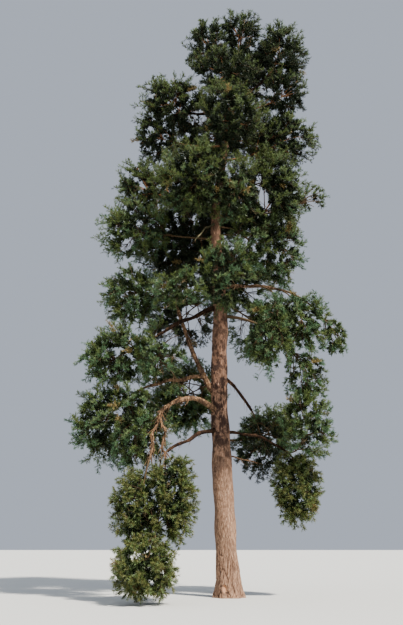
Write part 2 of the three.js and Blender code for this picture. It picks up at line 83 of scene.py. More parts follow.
# %% The trunk and the boughs
TRUNK_TOP = 21.9
TRUNK_LEAN = [(0, 0, 0), (4.6, -0.2, 0), (7.0, -0.26, 0.02), (9.5, -0.2, 0.03), (13.4, -0.34, 0.06),
              (16.2, 0.03, 0.09), (19.0, 0.5, 0.1), (TRUNK_TOP, 0.8, 0.15)]
TRUNK_TAPER = [(0, 0.366), (1.7, 0.343), (4.4, 0.328), (5.6, 0.29), (8.5, 0.27), (10.5, 0.232),
               (13.4, 0.172), (16.2, 0.128), (19.0, 0.082), (TRUNK_TOP, 0.022)]
FLARE_OUT = 0.095
FLARE_HEIGHT = 0.42
ROOT_TOES = [-8, 62, 128, 186, 243, 301]
TOE_OUT = 0.09
TOE_WIDTH = 0.3

# name, foot (a height on the trunk, or a bough and how far along it), tip (bearing, reach, height),
# arch, crook, radius at foot and tip
BOUGHS = [
    ("bough_arch", 5.85, (-145, 2.62, 5.72), 0.95, 0.02, (0.1, 0.066)),
    ("bough_hang_outer", ("bough_arch", 1), (-137, 3.38, 4.06), 0.48, 0.08, (0.054, 0.034)),
    ("bough_hang_inner", ("bough_hang_outer", 0.14), (-134, 2.86, 4.12), -0.04, 0.09, (0.042, 0.028)),
    ("bough_low_left", 5.38, (-142, 2.48, 4.42), 0.19, 0.04, (0.082, 0.04)),
    ("bough_steep_left", 6.3, (-176, 1.72, 9.6), -0.72, 0.03, (0.118, 0.056)),
    ("bough_fork_left", ("bough_steep_left", 0.36), (-172, 2.65, 6.78), 0.12, 0.04, (0.07, 0.046)),
    ("bough_mid_left", 9.78, (-165, 2.48, 8.5), 0.19, 0.04, (0.084, 0.052)),
    ("bough_right_high", 10.5, (-12, 1.82, 10.32), 0.19, 0.025, (0.068, 0.048)),
    ("bough_right_drop", 7.33, (24, 0.96, 6.06), 0.26, 0.02, (0.066, 0.04)),
    ("bough_right_low", 5.2, (-4, 1.96, 4.6), 0.45, 0.03, (0.054, 0.034)),
    ("bough_right_thin", 4.48, (12, 1.06, 4.23), 0.03, 0.015, (0.034, 0.016)),
    ("bough_upper_left", 17.5, (-172, 1.45, 17.76), 0.33, 0.03, (0.064, 0.042)),
    ("bough_top_right", 18.3, (-2, 1.9, 19.75), -0.16, 0.025, (0.06, 0.042)),
    ("bough_dead_front", 13.1, (-128, 1.8, 11.75), 0.24, 0.03, (0.046, 0.02)),
]
print(len(BOUGHS), "boughs")

# %% The masses of foliage
# name, centre (bearing, reach, height), half size (outwards, sideways, up), foot of the stem, and how
# the mass grows: full, dense (closer, and more of it in painted shade), shaded (full, and mostly in
# painted deep shade), loose (thin, with gaps) or weeping
MASSES = [
    ("top_left", (-148, 0.52, 20.92), (1.34, 1.21, 1.28), 19.5, "dense"),
    ("top_mid", (-25, 0.7, 21.33), (1.22, 1.15, 1.22), 20.5, "dense"),
    ("top_right", (-2, 2.2, 20.52), (1.42, 1.42, 1.68), ("bough_top_right", 1), "dense"),
    ("top_right_low", (-6, 2.45, 18.65), (1.02, 1.28, 1.3), 17.95, "dense"),
    ("top_under", (-92, 1.12, 18.9), (1.25, 1.72, 1.2), 18.9, "dense"),
    ("top_back", (48, 1.75, 20.7), (1.5, 1.7, 1.5), 19.2, "full"),
    ("upper_left", (-168, 1.88, 17.98), (1.94, 1.49, 1.36), ("bough_upper_left", 1), "full"),
    ("upper_left_low", (166, 2.74, 17.3), (1.2, 1.28, 1.36), 16.5, "full"),
    ("upper_front", (-86, 1.84, 16.56), (1.44, 1.59, 1.58), 16.3, "full"),
    ("upper_right", (0, 2.27, 16.7), (1.62, 1.49, 1.36), 15.85, "full"),
    ("upper_back", (104, 2.05, 18.1), (1.58, 2.13, 1.68), 17.25, "full"),
    ("upper_back_right", (44, 2.14, 18.0), (1.37, 1.57, 1.31), 16.9, "full"),
    ("mid_left_front", (-121, 2.02, 13.92), (1.72, 1.99, 1.72), 14.3, "full"),
    ("mid_left_tip", (178, 3.1, 14.64), (1.32, 1.28, 1.3), 13.9, "full"),
    ("mid_right", (-21, 1.83, 13.98), (1.64, 1.64, 2.12), 14.9, "full"),
    ("mid_right_tip", (3, 3.35, 14.25), (0.72, 0.62, 0.56), 13.3, "full"),
    ("mid_front", (-78, 1.93, 13.31), (1.23, 1.11, 1.72), 13.75, "full"),
    ("mid_back", (99, 2.31, 14.9), (1.72, 2.27, 1.9), 14.05, "full"),
    ("mid_back_right", (45, 2.55, 14.7), (1.58, 1.7, 1.75), 13.5, "full"),
    ("left_tip", (-174, 3.32, 12.6), (1.68, 1.42, 1.46), 12.45, "full"),
    ("left_dark", (139, 2.24, 12.9), (1.92, 2.21, 2.12), 12.05, "shaded"),
    ("right_side", (0, 2.06, 12.0), (1.08, 1.4, 2.03), 12.95, "loose"),
    ("right_inner", (-48, 1.32, 11.91), (0.84, 0.86, 1.68), 12.55, "full"),
    ("back_mid", (82, 2.58, 11.8), (1.64, 2.06, 1.83), 11.3, "full"),
    ("front_low", (-92, 1.91, 10.2), (1.27, 1.21, 1.6), 11.0, "dense"),
    ("left_front_low", (-125, 2.8, 9.56), (1.13, 1.17, 0.98), 10.35, "full"),
    ("left_low_tip", (-177, 3.42, 10.12), (1.27, 1.31, 1.45), ("bough_steep_left", 1), "full"),
    ("right_big_in", (-51, 2.15, 8.2), (0.98, 0.98, 1.8), ("bough_right_high", 0.6), "full"),
    ("right_big_out", (-18, 2.62, 8.82), (1.3, 1.37, 1.42), ("bough_right_high", 1), "full"),
    ("right_tip", (-3, 3.82, 8.53), (0.62, 0.74, 1.02), ("bough_right_high", 1), "full"),
    ("right_fringe", (-9, 2.8, 7.0), (0.92, 1.1, 1.15), 9.4, "full"),
    ("right_back", (57, 2.65, 9.6), (1.53, 1.58, 1.64), 10.0, "full"),
    ("left_back", (128, 2.75, 10.0), (1.45, 1.6, 1.6), 10.35, "shaded"),
    ("left_big_out", (-169, 3.9, 7.66), (1.52, 1.4, 1.38), ("bough_mid_left", 1), "full"),
    ("left_big_in", (-142, 2.65, 7.39), (1.23, 1.31, 1.64), ("bough_mid_left", 1), "full"),
    ("left_low_out", (-173, 4.05, 5.5), (1.45, 1.4, 1.75), ("bough_fork_left", 1), "full"),
    ("left_low_in", (-150, 3.25, 5.12), (1.25, 1.25, 1.9), ("bough_fork_left", 1), "full"),
    ("right_hang", (-16, 2.7, 5.39), (1.1, 1.1, 1.6), ("bough_right_low", 1), "full"),
    ("right_dark", (38, 1.5, 4.9), (1.2, 1.25, 1.3), ("bough_right_drop", 1), "shaded"),
    ("right_low", (0, 2.29, 3.45), (0.93, 1.02, 1.5), ("bough_right_low", 1), "weeping"),
    ("back_low_left", (125, 2.61, 6.9), (1.47, 1.85, 1.78), 7.05, "full"),
    ("back_low_right", (52, 2.8, 5.6), (1.27, 1.31, 1.15), 5.0, "full"),
    ("weep_left", (-141, 3.5, 2.6), (1.0, 0.98, 1.5), ("bough_hang_outer", 1), "weeping"),
    ("weep_right", (-129, 2.85, 2.95), (0.9, 0.92, 1.66), ("bough_low_left", 1), "weeping"),
    ("weep_foot", (-131, 3.84, 0.96), (1.1, 1.1, 1.06), ("bough_hang_inner", 1), "weeping"),
]
print(len(MASSES), "masses of foliage")

# %% [markdown]
# ## Curves and draws that the whole tree shares
#
# Limbs follow the frame's own formulas, so a few small helpers are written once: a seeded draw, a point
# at a bearing, a smooth curve through the rows of a table, and a bowed limb with small kinks. A modelled
# tree could also be sculpted by hand, but formulas keep it in step with the frame and repeatable.

# %% Shared helpers
GOLDEN_ANGLE = math.pi * (3 - math.sqrt(5))
UP = np.array([0.0, 0.0, 1.0])
WAVE_SIZE = 43758.5453
# seeds of the first bough, the first bough's bark, the fringe, the first mass's stem and the first mass
BOUGH_SEED, BARK_SEED, FRINGE_SEED, STEM_SEED, MASS_SEED = 11, 5, 77, 101, 1000


def fraction(angle):
    """A number between 0 and 1 that jumps about as the angle changes: the fraction of a large sine."""
    wave = np.sin(angle) * WAVE_SIZE
    return wave - np.floor(wave)


def draw(seed):
    """A seeded number between 0 and 1."""
    return fraction(np.asarray(seed, dtype=float) * 12.9898 + 4.1414)


def polar(bearing, reach, height):
    """A point: reach times the cosine and sine of the bearing, and the height."""
    angle = math.radians(bearing)
    return np.array([reach * math.cos(angle), reach * math.sin(angle), height])


def through(table, height, column):
    """A table's column at some heights: a cubic in each span, with the slopes of the rows beside it."""
    rows = np.array(table, dtype=float)
    height = np.asarray(height, dtype=float)
    i = np.clip(np.searchsorted(rows[:, 0], height, side="left") - 1, 0, len(rows) - 2)
    before, low = rows[np.maximum(i - 1, 0)], rows[i]
    high, after = rows[i + 1], rows[np.minimum(i + 2, len(rows) - 1)]
    span = high[..., 0] - low[..., 0]
    t = np.clip((height - low[..., 0]) / span, 0, 1)
    slope_low = (high[..., column] - before[..., column]) / (high[..., 0] - before[..., 0]) * span
    slope_high = (after[..., column] - low[..., column]) / (after[..., 0] - low[..., 0]) * span
    bend = high[..., column] - low[..., column]
    return (low[..., column] + slope_low * t + (3 * bend - 2 * slope_low - slope_high) * t**2
            + (slope_low + slope_high - 2 * bend) * t**3)


def trunk_point(height):
    """The trunk's centre at some heights."""
    height = np.asarray(height, dtype=float)
    return np.stack([through(TRUNK_LEAN, height, 1), through(TRUNK_LEAN, height, 2), height], axis=-1)


def unit(vectors):
    """Vectors divided by their lengths."""
    return vectors / np.maximum(np.linalg.norm(vectors, axis=-1, keepdims=True), 1e-9)


def parabola(one, two, three, t):
    """Points on a parabola that bends towards two: one (1 - t)^2 + two 2 t (1 - t) + three t^2."""
    return one * (1 - t) ** 2 + two * 2 * t * (1 - t) + three * t**2


def turned(first, second, angle):
    """Directions between two that are square to each other: first cos(angle) + second sin(angle)."""
    return first * np.cos(angle)[..., None] + second * np.sin(angle)[..., None]


print("trunk centre at 10 m:", trunk_point(10.0).round(3))


# %% Bowed limbs
KINKS = (9, 12)  # how fast the kinks to the side and upwards turn
TAPER_POWER = 0.8


class Limb:
    """A limb from foot to tip: a parabola that bends towards a point, plus kinks of two sines.

    The kinks fade at both ends.
    """

    def __init__(self, foot, bend, tip, radii, crook=0.0, seed=0):
        self.foot, self.bend, self.tip, self.radii, self.crook = foot, bend, tip, radii, crook
        side = np.cross(bend - foot, tip - foot)
        if np.linalg.norm(side) < 1e-6:
            side = np.cross(tip - foot, np.array([0.3, 1.0, 0.2]))
        self.side = unit(side)
        self.phase = float(draw(seed)) * math.pi * 2

    def at(self, t):
        """Points along the limb at t from 0 to 1."""
        t = np.asarray(t, dtype=float)[..., None]
        fade = self.crook * np.sin(math.pi * t)
        return (parabola(self.foot, self.bend, self.tip, t)
                + self.side * fade * np.sin(self.phase + KINKS[0] * t)
                + UP * fade * np.sin(self.phase * 2 + KINKS[1] * t))

    def ahead(self, t):
        """The direction of growth at t."""
        return unit(self.at(min(t + 0.01, 1.0)) - self.at(max(t - 0.01, 0.0)))

    def radius(self, t):
        """The taper: from the foot's radius to the tip's, by a power of t."""
        return self.radii[0] + (self.radii[1] - self.radii[0]) * np.asarray(t, dtype=float) ** TAPER_POWER


limbs = {}


def foot_of(foot, towards):
    """Where a limb starts and the way it sets out: level from the trunk, or on from its bough."""
    if isinstance(foot, tuple):
        parent = limbs[foot[0]]
        return parent.at(foot[1]), parent.ahead(foot[1])
    point = trunk_point(foot)
    return point, unit((towards - point) * np.array([1, 1, 0]))


for number, (name, foot, tip, arch, crook, radii) in enumerate(BOUGHS):
    end = polar(*tip)
    start, _ = foot_of(foot, end)
    middle = (start + end) / 2 + UP * arch
    limbs[name] = Limb(start, middle, end, radii, crook, BOUGH_SEED + number)
print("longest bough", round(max(float(np.linalg.norm(l.tip - l.foot)) for l in limbs.values()), 2), "m")

# %% [markdown]
# ## Meshes from arrays
#
# A crown has about a million needles, far too many for a Python loop over vertices. Each kind of piece
# is therefore worked out as whole arrays, and one helper hands the arrays to Blender. Instances or
# particles would be lighter to edit, but joined meshes survive an export.

# %% Mesh helpers
def make_mesh(name, points, faces, materials, face_slots=None, smooth=False, attributes=None):
    """An object from an array of points and a list of face arrays, each with its own corner count."""
    loops = np.concatenate([f.ravel() for f in faces]).astype(np.int32)
    counts = np.concatenate([np.full(len(f), f.shape[1]) for f in faces])
    starts = np.concatenate([[0], np.cumsum(counts)[:-1]]).astype(np.int32)
    mesh = bpy.data.meshes.new(name)
    mesh.vertices.add(len(points))
    mesh.vertices.foreach_set("co", np.asarray(points, dtype=np.float32).ravel())
    mesh.loops.add(len(loops))
    mesh.loops.foreach_set("vertex_index", loops)
    mesh.polygons.add(len(starts))
    mesh.polygons.foreach_set("loop_start", starts)
    if face_slots is not None:
        mesh.polygons.foreach_set("material_index", np.asarray(face_slots, dtype=np.int32))
    mesh.polygons.foreach_set("use_smooth", np.full(len(starts), smooth))
    for material in materials:
        mesh.materials.append(material)
    mesh.update(calc_edges=True)
    for key, values in (attributes or {}).items():
        layer = mesh.attributes.new(key, "FLOAT", "POINT")
        layer.data.foreach_set("value", np.asarray(values, dtype=np.float32).ravel())
    mesh.validate()
    piece = bpy.data.objects.new(name, mesh)
    bpy.context.scene.collection.objects.link(piece)
    return piece


def tube_faces(rings, sides, count=1):
    """Faces of closed tubes whose points are rings of sides: their walls, and one face at each end."""
    index = np.arange(count * rings * sides).reshape(count, rings, sides)
    after = np.roll(index, -1, axis=2)
    walls = np.stack([index[:, :-1], after[:, :-1], after[:, 1:], index[:, 1:]], axis=-1).reshape(-1, 4)
    return [walls, np.concatenate([index[:, 0, ::-1], index[:, -1]])]


def tubes(centres, radii, sides):
    """Closed tubes round many centre lines at once.

    A rim point is the centre, plus the radius times the cosine and sine of its angle along two
    directions square to the centre line. Both ends are closed by one flat face.
    """
    count, rings, _ = centres.shape
    along = unit(np.gradient(centres, axis=1))
    chord = unit(centres[:, -1] - centres[:, 0])
    helper = np.where(np.abs(chord[:, 2:3]) > 0.8, np.array([1.0, 0.0, 0.0]), UP)
    first = unit(np.cross(helper[:, None, :], along))
    second = np.cross(along, first)
    rim = turned(first[:, :, None], second[:, :, None], np.arange(sides) / sides * 2 * math.pi)
    points = centres[:, :, None, :] + rim * radii[:, :, None, None]
    return points.reshape(-1, 3), tube_faces(rings, sides, count)


def parabolas(ones, twos, threes, samples):
    """Lines of so many points, for many parabolas at once."""
    t = np.linspace(0, 1, samples)[None, :, None]
    return parabola(ones[:, None], twos[:, None], threes[:, None], t)


def square_to(ways):
    """Two directions square to each of some directions and to each other."""
    helper = np.where(np.abs(ways[:, 2:3]) > 0.9, np.array([1.0, 0.0, 0.0]), UP)
    first = unit(np.cross(ways, helper))
    return first, np.cross(ways, first)


def spikes(feet, tips, radius):
    """Closed three-sided spikes: three corners round each foot and one at the tip."""
    first, second = square_to(unit(tips - feet))
    rim = turned(first[:, None], second[:, None], np.arange(3) / 3 * 2 * math.pi)
    points = np.concatenate([feet[:, None] + rim * radius, tips[:, None]], axis=1)
    corners = np.array([[0, 1, 3], [1, 2, 3], [2, 0, 3], [2, 1, 0]])
    faces = (np.arange(len(feet))[:, None, None] * 4 + corners).reshape(-1, 3)
    return points.reshape(-1, 3), [faces]


def join_parts(parts):
    """Several (points, faces) pairs, each with its material's number, as the arrays of one mesh.

    Face numbers move up past the earlier points, and faces with as many corners are grouped.
    """
    points, faces, slots, shift = [], {}, {}, 0
    for (part_points, part_faces), slot in parts:
        for face in part_faces:
            faces.setdefault(face.shape[1], []).append(face + shift)
            slots.setdefault(face.shape[1], []).append(np.full(len(face), slot))
        points.append(part_points)
        shift += len(part_points)
    return (np.concatenate(points), [np.concatenate(group) for group in faces.values()],
            np.concatenate([each for group in slots.values() for each in group]))


def triangles_in(piece):
    """How many triangles a piece's mesh has."""
    counts = np.empty(len(piece.data.polygons), dtype=np.int32)
    piece.data.polygons.foreach_get("loop_total", counts)
    return int((counts - 2).sum())


# %% [markdown]
# ## Bark
#
# A scots pine has two barks. Low down it is thick, in tall greyish-pink plates with dark furrows between
# them. Higher up it thins to flaky orange paper. The plates are real relief in the mesh, worked out as
# cells that are taller than wide, and the same numbers are stored on the mesh so that the material can
# darken the furrows. A bump map alone would leave the trunk's outline smooth.

# %% Bark materials
def new_material(name, roughness=0.9):
    """A plain opaque material and its shader."""
    material = bpy.data.materials.new(name)
    material.use_nodes = True
    shader = material.node_tree.nodes["Principled BSDF"]
    shader.inputs["Roughness"].default_value = roughness
    shader.inputs["Specular IOR Level"].default_value = 0.25
    return material, shader


def ramp(tree, value, stops):
    """The colour that a ramp of places and colours gives a value."""
    node = tree.nodes.new("ShaderNodeValToRGB")
    elements = node.color_ramp.elements
    for element, (place, colour) in ((elements[0], stops[0]), (elements[1], stops[-1])):
        element.position = place
        element.color = (*colour, 1)
    for place, colour in stops[1:-1]:
        elements.new(place).color = (*colour, 1)
    tree.links.new(value, node.inputs[0])
    return node.outputs[0]


def mix_colours(tree, factor, one, two, blend="MIX"):
    """A colour that goes from one to another by a factor, or from one to the product of the two."""
    node = tree.nodes.new("ShaderNodeMix")
    node.data_type = "RGBA"
    node.blend_type = blend
    for socket, value in ((node.inputs[0], factor), (node.inputs[6], one), (node.inputs[7], two)):
        if isinstance(value, bpy.types.NodeSocket):
            tree.links.new(value, socket)
        else:
            socket.default_value = value if isinstance(value, float) else (*value, 1)
    return node.outputs[2]


def tall_noise(tree, place, stretch, scale, detail, roughness):
    """Noise whose spots are taller than wide, because the height counts for less by the stretch."""
    mapping = tree.nodes.new("ShaderNodeMapping")
    mapping.inputs["Scale"].default_value = (1.0, 1.0, stretch)
    tree.links.new(place, mapping.inputs["Vector"])
    node = tree.nodes.new("ShaderNodeTexNoise")
    for socket, value in (("Scale", scale), ("Detail", detail), ("Roughness", roughness)):
        node.inputs[socket].default_value = value
    tree.links.new(mapping.outputs[0], node.inputs["Vector"])
    return node.outputs["Fac"]


def share_between(tree, height, low, high):
    """0 at one height and 1 at another."""
    node = tree.nodes.new("ShaderNodeMapRange")
    node.inputs["From Min"].default_value = low
    node.inputs["From Max"].default_value = high
    tree.links.new(height, node.inputs["Value"])
    return node.outputs[0]


def stored(tree, name):
    """A number that is stored on the mesh."""
    node = tree.nodes.new("ShaderNodeAttribute")
    node.attribute_name = name
    return node.outputs["Fac"]


# %% Bark by height
# stretch of the height, scale, detail and roughness, of the grain and of the painted dappled shade
GRAIN = (0.2, 34.0, 8.0, 0.7)
PAINTED_DAPPLES = (0.55, 5.5, 7.0, 0.75)
PLATE_PLACES = (0.3, 0.5, 0.72)  # where the grain takes each of the plates' three colours
FLAKE_PLACES = (0.3, 0.55, 0.75)
# painted dappled shade: bluish dark patches that stand for the foliage's shadow, lighter between them
PAINTED_DAPPLE_SHADE = [(0.47, (0.17, 0.165, 0.20)), (0.56, (1.05, 1.04, 1.05))]
TONE_SPREAD = [(0.0, (0.84, 0.83, 0.83)), (0.5, (0.95, 0.94, 0.93)), (1.0, (1.07, 1.06, 1.05))]
SCAR_COLOUR = (0.56, 0.33, 0.21)
GRAIN_STRENGTH, GRAIN_DEPTH = 1.15, 0.02


def bark_material(name, plate, furrow, flake, flake_from, flake_to, painted_dapples):
    """Bark that goes from plates below to orange flakes above, darker in its furrows.

    The height sets the mix of the two barks. The last argument sets painted dappled shade by height.
    The numbers stored on the mesh tone each plate, darken the furrows and colour the bare patch.
    """
    material, shader = new_material(name)
    tree = material.node_tree
    place = tree.nodes.new("ShaderNodeTexCoord").outputs["Object"]
    split = tree.nodes.new("ShaderNodeSeparateXYZ")
    tree.links.new(place, split.inputs[0])
    height = split.outputs["Z"]
    grain = tall_noise(tree, place, *GRAIN)
    plates = ramp(tree, grain, list(zip(PLATE_PLACES, plate)))
    flakes = ramp(tree, grain, list(zip(FLAKE_PLACES, flake)))
    surface = mix_colours(tree, share_between(tree, height, flake_from, flake_to), plates, flakes)
    # painted dappled shade, multiplied into the bark more at some heights than at others
    shade = ramp(tree, tall_noise(tree, place, *PAINTED_DAPPLES), PAINTED_DAPPLE_SHADE)
    painted_dappling = ramp(tree, share_between(tree, height, 0.0, TRUNK_TOP),
                    [(at / TRUNK_TOP, (much, much, much)) for at, much in painted_dapples])
    painted_dappled = mix_colours(tree, painted_dappling, surface, shade, "MULTIPLY")
    tone = ramp(tree, stored(tree, "tone"), TONE_SPREAD)
    toned = mix_colours(tree, 1.0, painted_dappled, tone, "MULTIPLY")
    barked = mix_colours(tree, stored(tree, "plate"), furrow, toned)
    colour = mix_colours(tree, stored(tree, "scar"), barked, SCAR_COLOUR)
    tree.links.new(colour, shader.inputs["Base Color"])
    bump = tree.nodes.new("ShaderNodeBump")
    bump.inputs["Strength"].default_value = GRAIN_STRENGTH
    bump.inputs["Distance"].default_value = GRAIN_DEPTH
    tree.links.new(grain, bump.inputs["Height"])
    tree.links.new(bump.outputs[0], shader.inputs["Normal"])
    return material


# %% The four barks, one of them the boughs' bark in painted shade
# dark, middle and light colour of each kind of bark
PLATE_COLOURS = [(0.19, 0.115, 0.08), (0.39, 0.245, 0.168), (0.63, 0.462, 0.345)]
FLAKE_COLOURS = [(0.14, 0.082, 0.06), (0.37, 0.225, 0.155), (0.62, 0.45, 0.34)]
BOUGH_COLOURS = [(0.11, 0.065, 0.04), (0.40, 0.25, 0.15), (0.78, 0.58, 0.40)]
# the boughs' bark again, far darker: painted shade for boughs that lie in shadow
PAINTED_SHADE_BOUGH_COLOURS = [(0.025, 0.015, 0.011), (0.075, 0.042, 0.026), (0.26, 0.14, 0.07)]
DEAD_COLOURS = [(0.16, 0.15, 0.09), (0.30, 0.29, 0.17), (0.46, 0.45, 0.30)]
PLATES_TO_FLAKES = (3.9, 8.0)  # the heights between which the trunk's plates give way to flakes
BOUGH_HEIGHTS = (0.0, 20.0)
# heights, and how much painted dappled shade, the foliage's shadow, darkens the trunk there
TRUNK_PAINTED_DAPPLES = [(3.2, 0.1), (5.0, 1.0), (7.4, 1.0), (8.6, 0.75), (10.5, 0.5)]
# the boughs take the same painted dappled shade evenly
BOUGH_PAINTED_DAPPLES = [(height, 0.7) for height in BOUGH_HEIGHTS]
trunk_bark = bark_material("trunk_plates", PLATE_COLOURS, (0.10, 0.06, 0.045), FLAKE_COLOURS,
                           *PLATES_TO_FLAKES, TRUNK_PAINTED_DAPPLES)
bough_bark, painted_shade_bark, dead_bark = (
    bark_material(name, colours, furrow, colours, *BOUGH_HEIGHTS, BOUGH_PAINTED_DAPPLES)
    for name, colours, furrow in (("bough_flakes", BOUGH_COLOURS, (0.05, 0.03, 0.02)),
                                  ("bough_flakes_painted_shade", PAINTED_SHADE_BOUGH_COLOURS, (0.03, 0.018, 0.013)),
                                  ("dead_bark", DEAD_COLOURS, (0.10, 0.09, 0.06))))
print("bark materials:", trunk_bark.name, bough_bark.name, painted_shade_bark.name, dead_bark.name)


# %% Cells for the plates
SEED_MARGIN = 0.15  # how far seeds keep from the sides of their cells
FAR_SEED = 9.0  # further off than any seed


def cell_hash(i, j, salt):
    """A seeded number for each cell of a grid."""
    return fraction(i * 127.1 + j * 311.7 + salt * 74.7)


def bark_cells(across, along, around, salt):
    """How far inside its cell each place is, and the drawn tone of that cell.

    One seed lies at a drawn place in each cell of the grid, and the grid closes after a whole number
    of cells around the limb. The first result is the distance to the second nearest seed, less the
    distance to the nearest, so it is 0 on a cell's edge.
    """
    column, row = np.floor(across), np.floor(along)
    nearest = np.full(across.shape, FAR_SEED)
    second = np.full(across.shape, FAR_SEED)
    tone = np.zeros(across.shape)
    for dx in (-1, 0, 1):
        for dy in (-1, 0, 1):
            i, j = np.mod(column + dx, around), row + dy
            seed_x = column + dx + SEED_MARGIN + (1 - 2 * SEED_MARGIN) * cell_hash(i, j, salt)
            seed_y = j + SEED_MARGIN + (1 - 2 * SEED_MARGIN) * cell_hash(i, j, salt + 1)
            apart = np.hypot(across - seed_x, along - seed_y)
            tone = np.where(apart < nearest, cell_hash(i, j, salt + 2), tone)
            second = np.minimum(second, np.maximum(nearest, apart))
            nearest = np.minimum(nearest, apart)
    return second - nearest, tone


def smooth_step(low, high, value):
    """0 below low, 1 above high, and an even S between them."""
    t = np.clip((value - low) / (high - low), 0, 1)
    return t * t * (3 - 2 * t)


# %% [markdown]
# ## The trunk
#
# The trunk is one surface of two parameters, the angle round it and the height. Its radius is the taper,
# plus a flare and six root buttresses that die away upwards, plus the relief of the bark. It could be a
# cylinder with a displacement modifier, but the formula keeps the plates' edges where the mesh is.

# %% Grow the trunk
TRUNK_SIDES = 120
TRUNK_RINGS = 800
EVEN_RINGS, RING_POWER = 0.35, 1.3  # the share of the rings' heights that is even, and the power of the rest
PLATES_AROUND = 32
PLATE_HEIGHT = 0.4
PLATE_DEPTH = 0.008
PLATE_LEVEL, CRACK_WEIGHT = 1.1, 0.45  # how far plates sink before they rise, and how much cracks count
FURROWS_AROUND = 13
FURROW_HEIGHT = 0.75
FURROW_DEPTH = 0.03
FURROW_TOP = (0.7, 2.3)  # between these heights the long furrows of the foot die away
FLAKES_AROUND = 18
FLAKE_HEIGHT = 0.15
FLAKE_DEPTH = 0.005
FLAKES_SET_IN = 3.0  # the height over which the flakes' relief comes in
LUMP_SIZE = 0.009
# how far a plate, a crack, a flake and a long furrow slope in from their edges, as shares of a cell
PLATE_EDGE, CRACK_EDGE, FLAKE_EDGE, FURROW_EDGE = 0.42, 0.25, 0.35, 0.22
OLD_BARK = (7.5, 13.0)  # between these heights the relief turns from plates to flakes
# how much darker bark is at the edge of a plate, a crack and a flake, in a knot and in a long furrow
PLATE_SHADE, CRACK_SHADE, FLAKE_SHADE, KNOT_SHADE, FURROW_SHADE = 0.38, 0.25, 0.45, 0.75, 0.65
# each row is one wave: its share, turns round the trunk, turns a metre (in radians) and phase
LIFT_WAVES = [(0.3, 4, 2.3, 0), (0.25, 9, -3.1, 0)]
LUMP_WAVES = [(1, 3, 2.9, 0), (1, 2, -5.7, 1), (1, 0, 3.7, 0)]
RAGGED_WAVES = [(0.12, 9, 31, 0)]
# the same, but each phase is a wave too: its size, turns round the trunk and turns a metre
SWAY_WAVES = [(0.9, 0, 1.7, (3, 0, 0.6)), (0.12, 0, 9.0, (5, 3, 0)), (0.25, 5, 4, (0, 0, 0))]
FURROW_SWAY = 0.4  # how much of the plates' sway the long furrows have
# height, bearing and size of the marks where limbs came off
KNOTS = [(8.35, -84, 0.09), (7.85, -86, 0.08), (7.3, -90, 0.11), (6.72, -120, 0.12), (5.1, -60, 0.09),
         (9.1, -110, 0.07), (3.9, -140, 0.06), (6.1, 70, 0.1), (8.2, 150, 0.09), (4.6, 110, 0.08),
         (2.6, 40, 0.07), (7.0, -20, 0.08), (0.34, -124, 0.07), (0.16, -97, 0.05)]
SCAR = (0.28, -108, 0.05, 0.12)  # height, bearing, half width and half height of the bare patch
SCAR_DEPTH = 0.03
SCAR_EDGE = (1.15, 0.85)  # the patch ends between these shares of its size
KNOT_RING, KNOT_HOLLOW = (0.2, 4), (0.22, 3)  # height or depth as a share of the size, and how steep
KNOT_TALL = 1.2  # half height over half width
GROUND_FADE = 0.05  # the height over which the relief comes in


def trunk_radius(height, angle):
    """Taper plus flare: a swelling and six buttresses that fade as the height over the flare's height."""
    toes = sum(np.exp(-((2 * np.abs(np.sin((angle - math.radians(b)) / 2)) / TOE_WIDTH) ** 2))
               for b in ROOT_TOES)
    return (through(TRUNK_TAPER, height, 1)
            + np.exp(-height / FLARE_HEIGHT) * (FLARE_OUT + TOE_OUT * toes))


def apart_on_bark(height, angle, at_height, bearing, wide, tall):
    """Distance over the bark from a mark, in its own half widths and half heights."""
    turn = np.angle(np.exp(1j * (angle - math.radians(bearing))))
    return np.hypot(turn * through(TRUNK_TAPER, at_height, 1) / wide, (height - at_height) / tall)


def waves(rows, angle, height):
    """A sum of sines of the angle round the trunk and the height."""
    return sum(share * np.sin(around * angle + height * up + phase) for share, around, up, phase in rows)


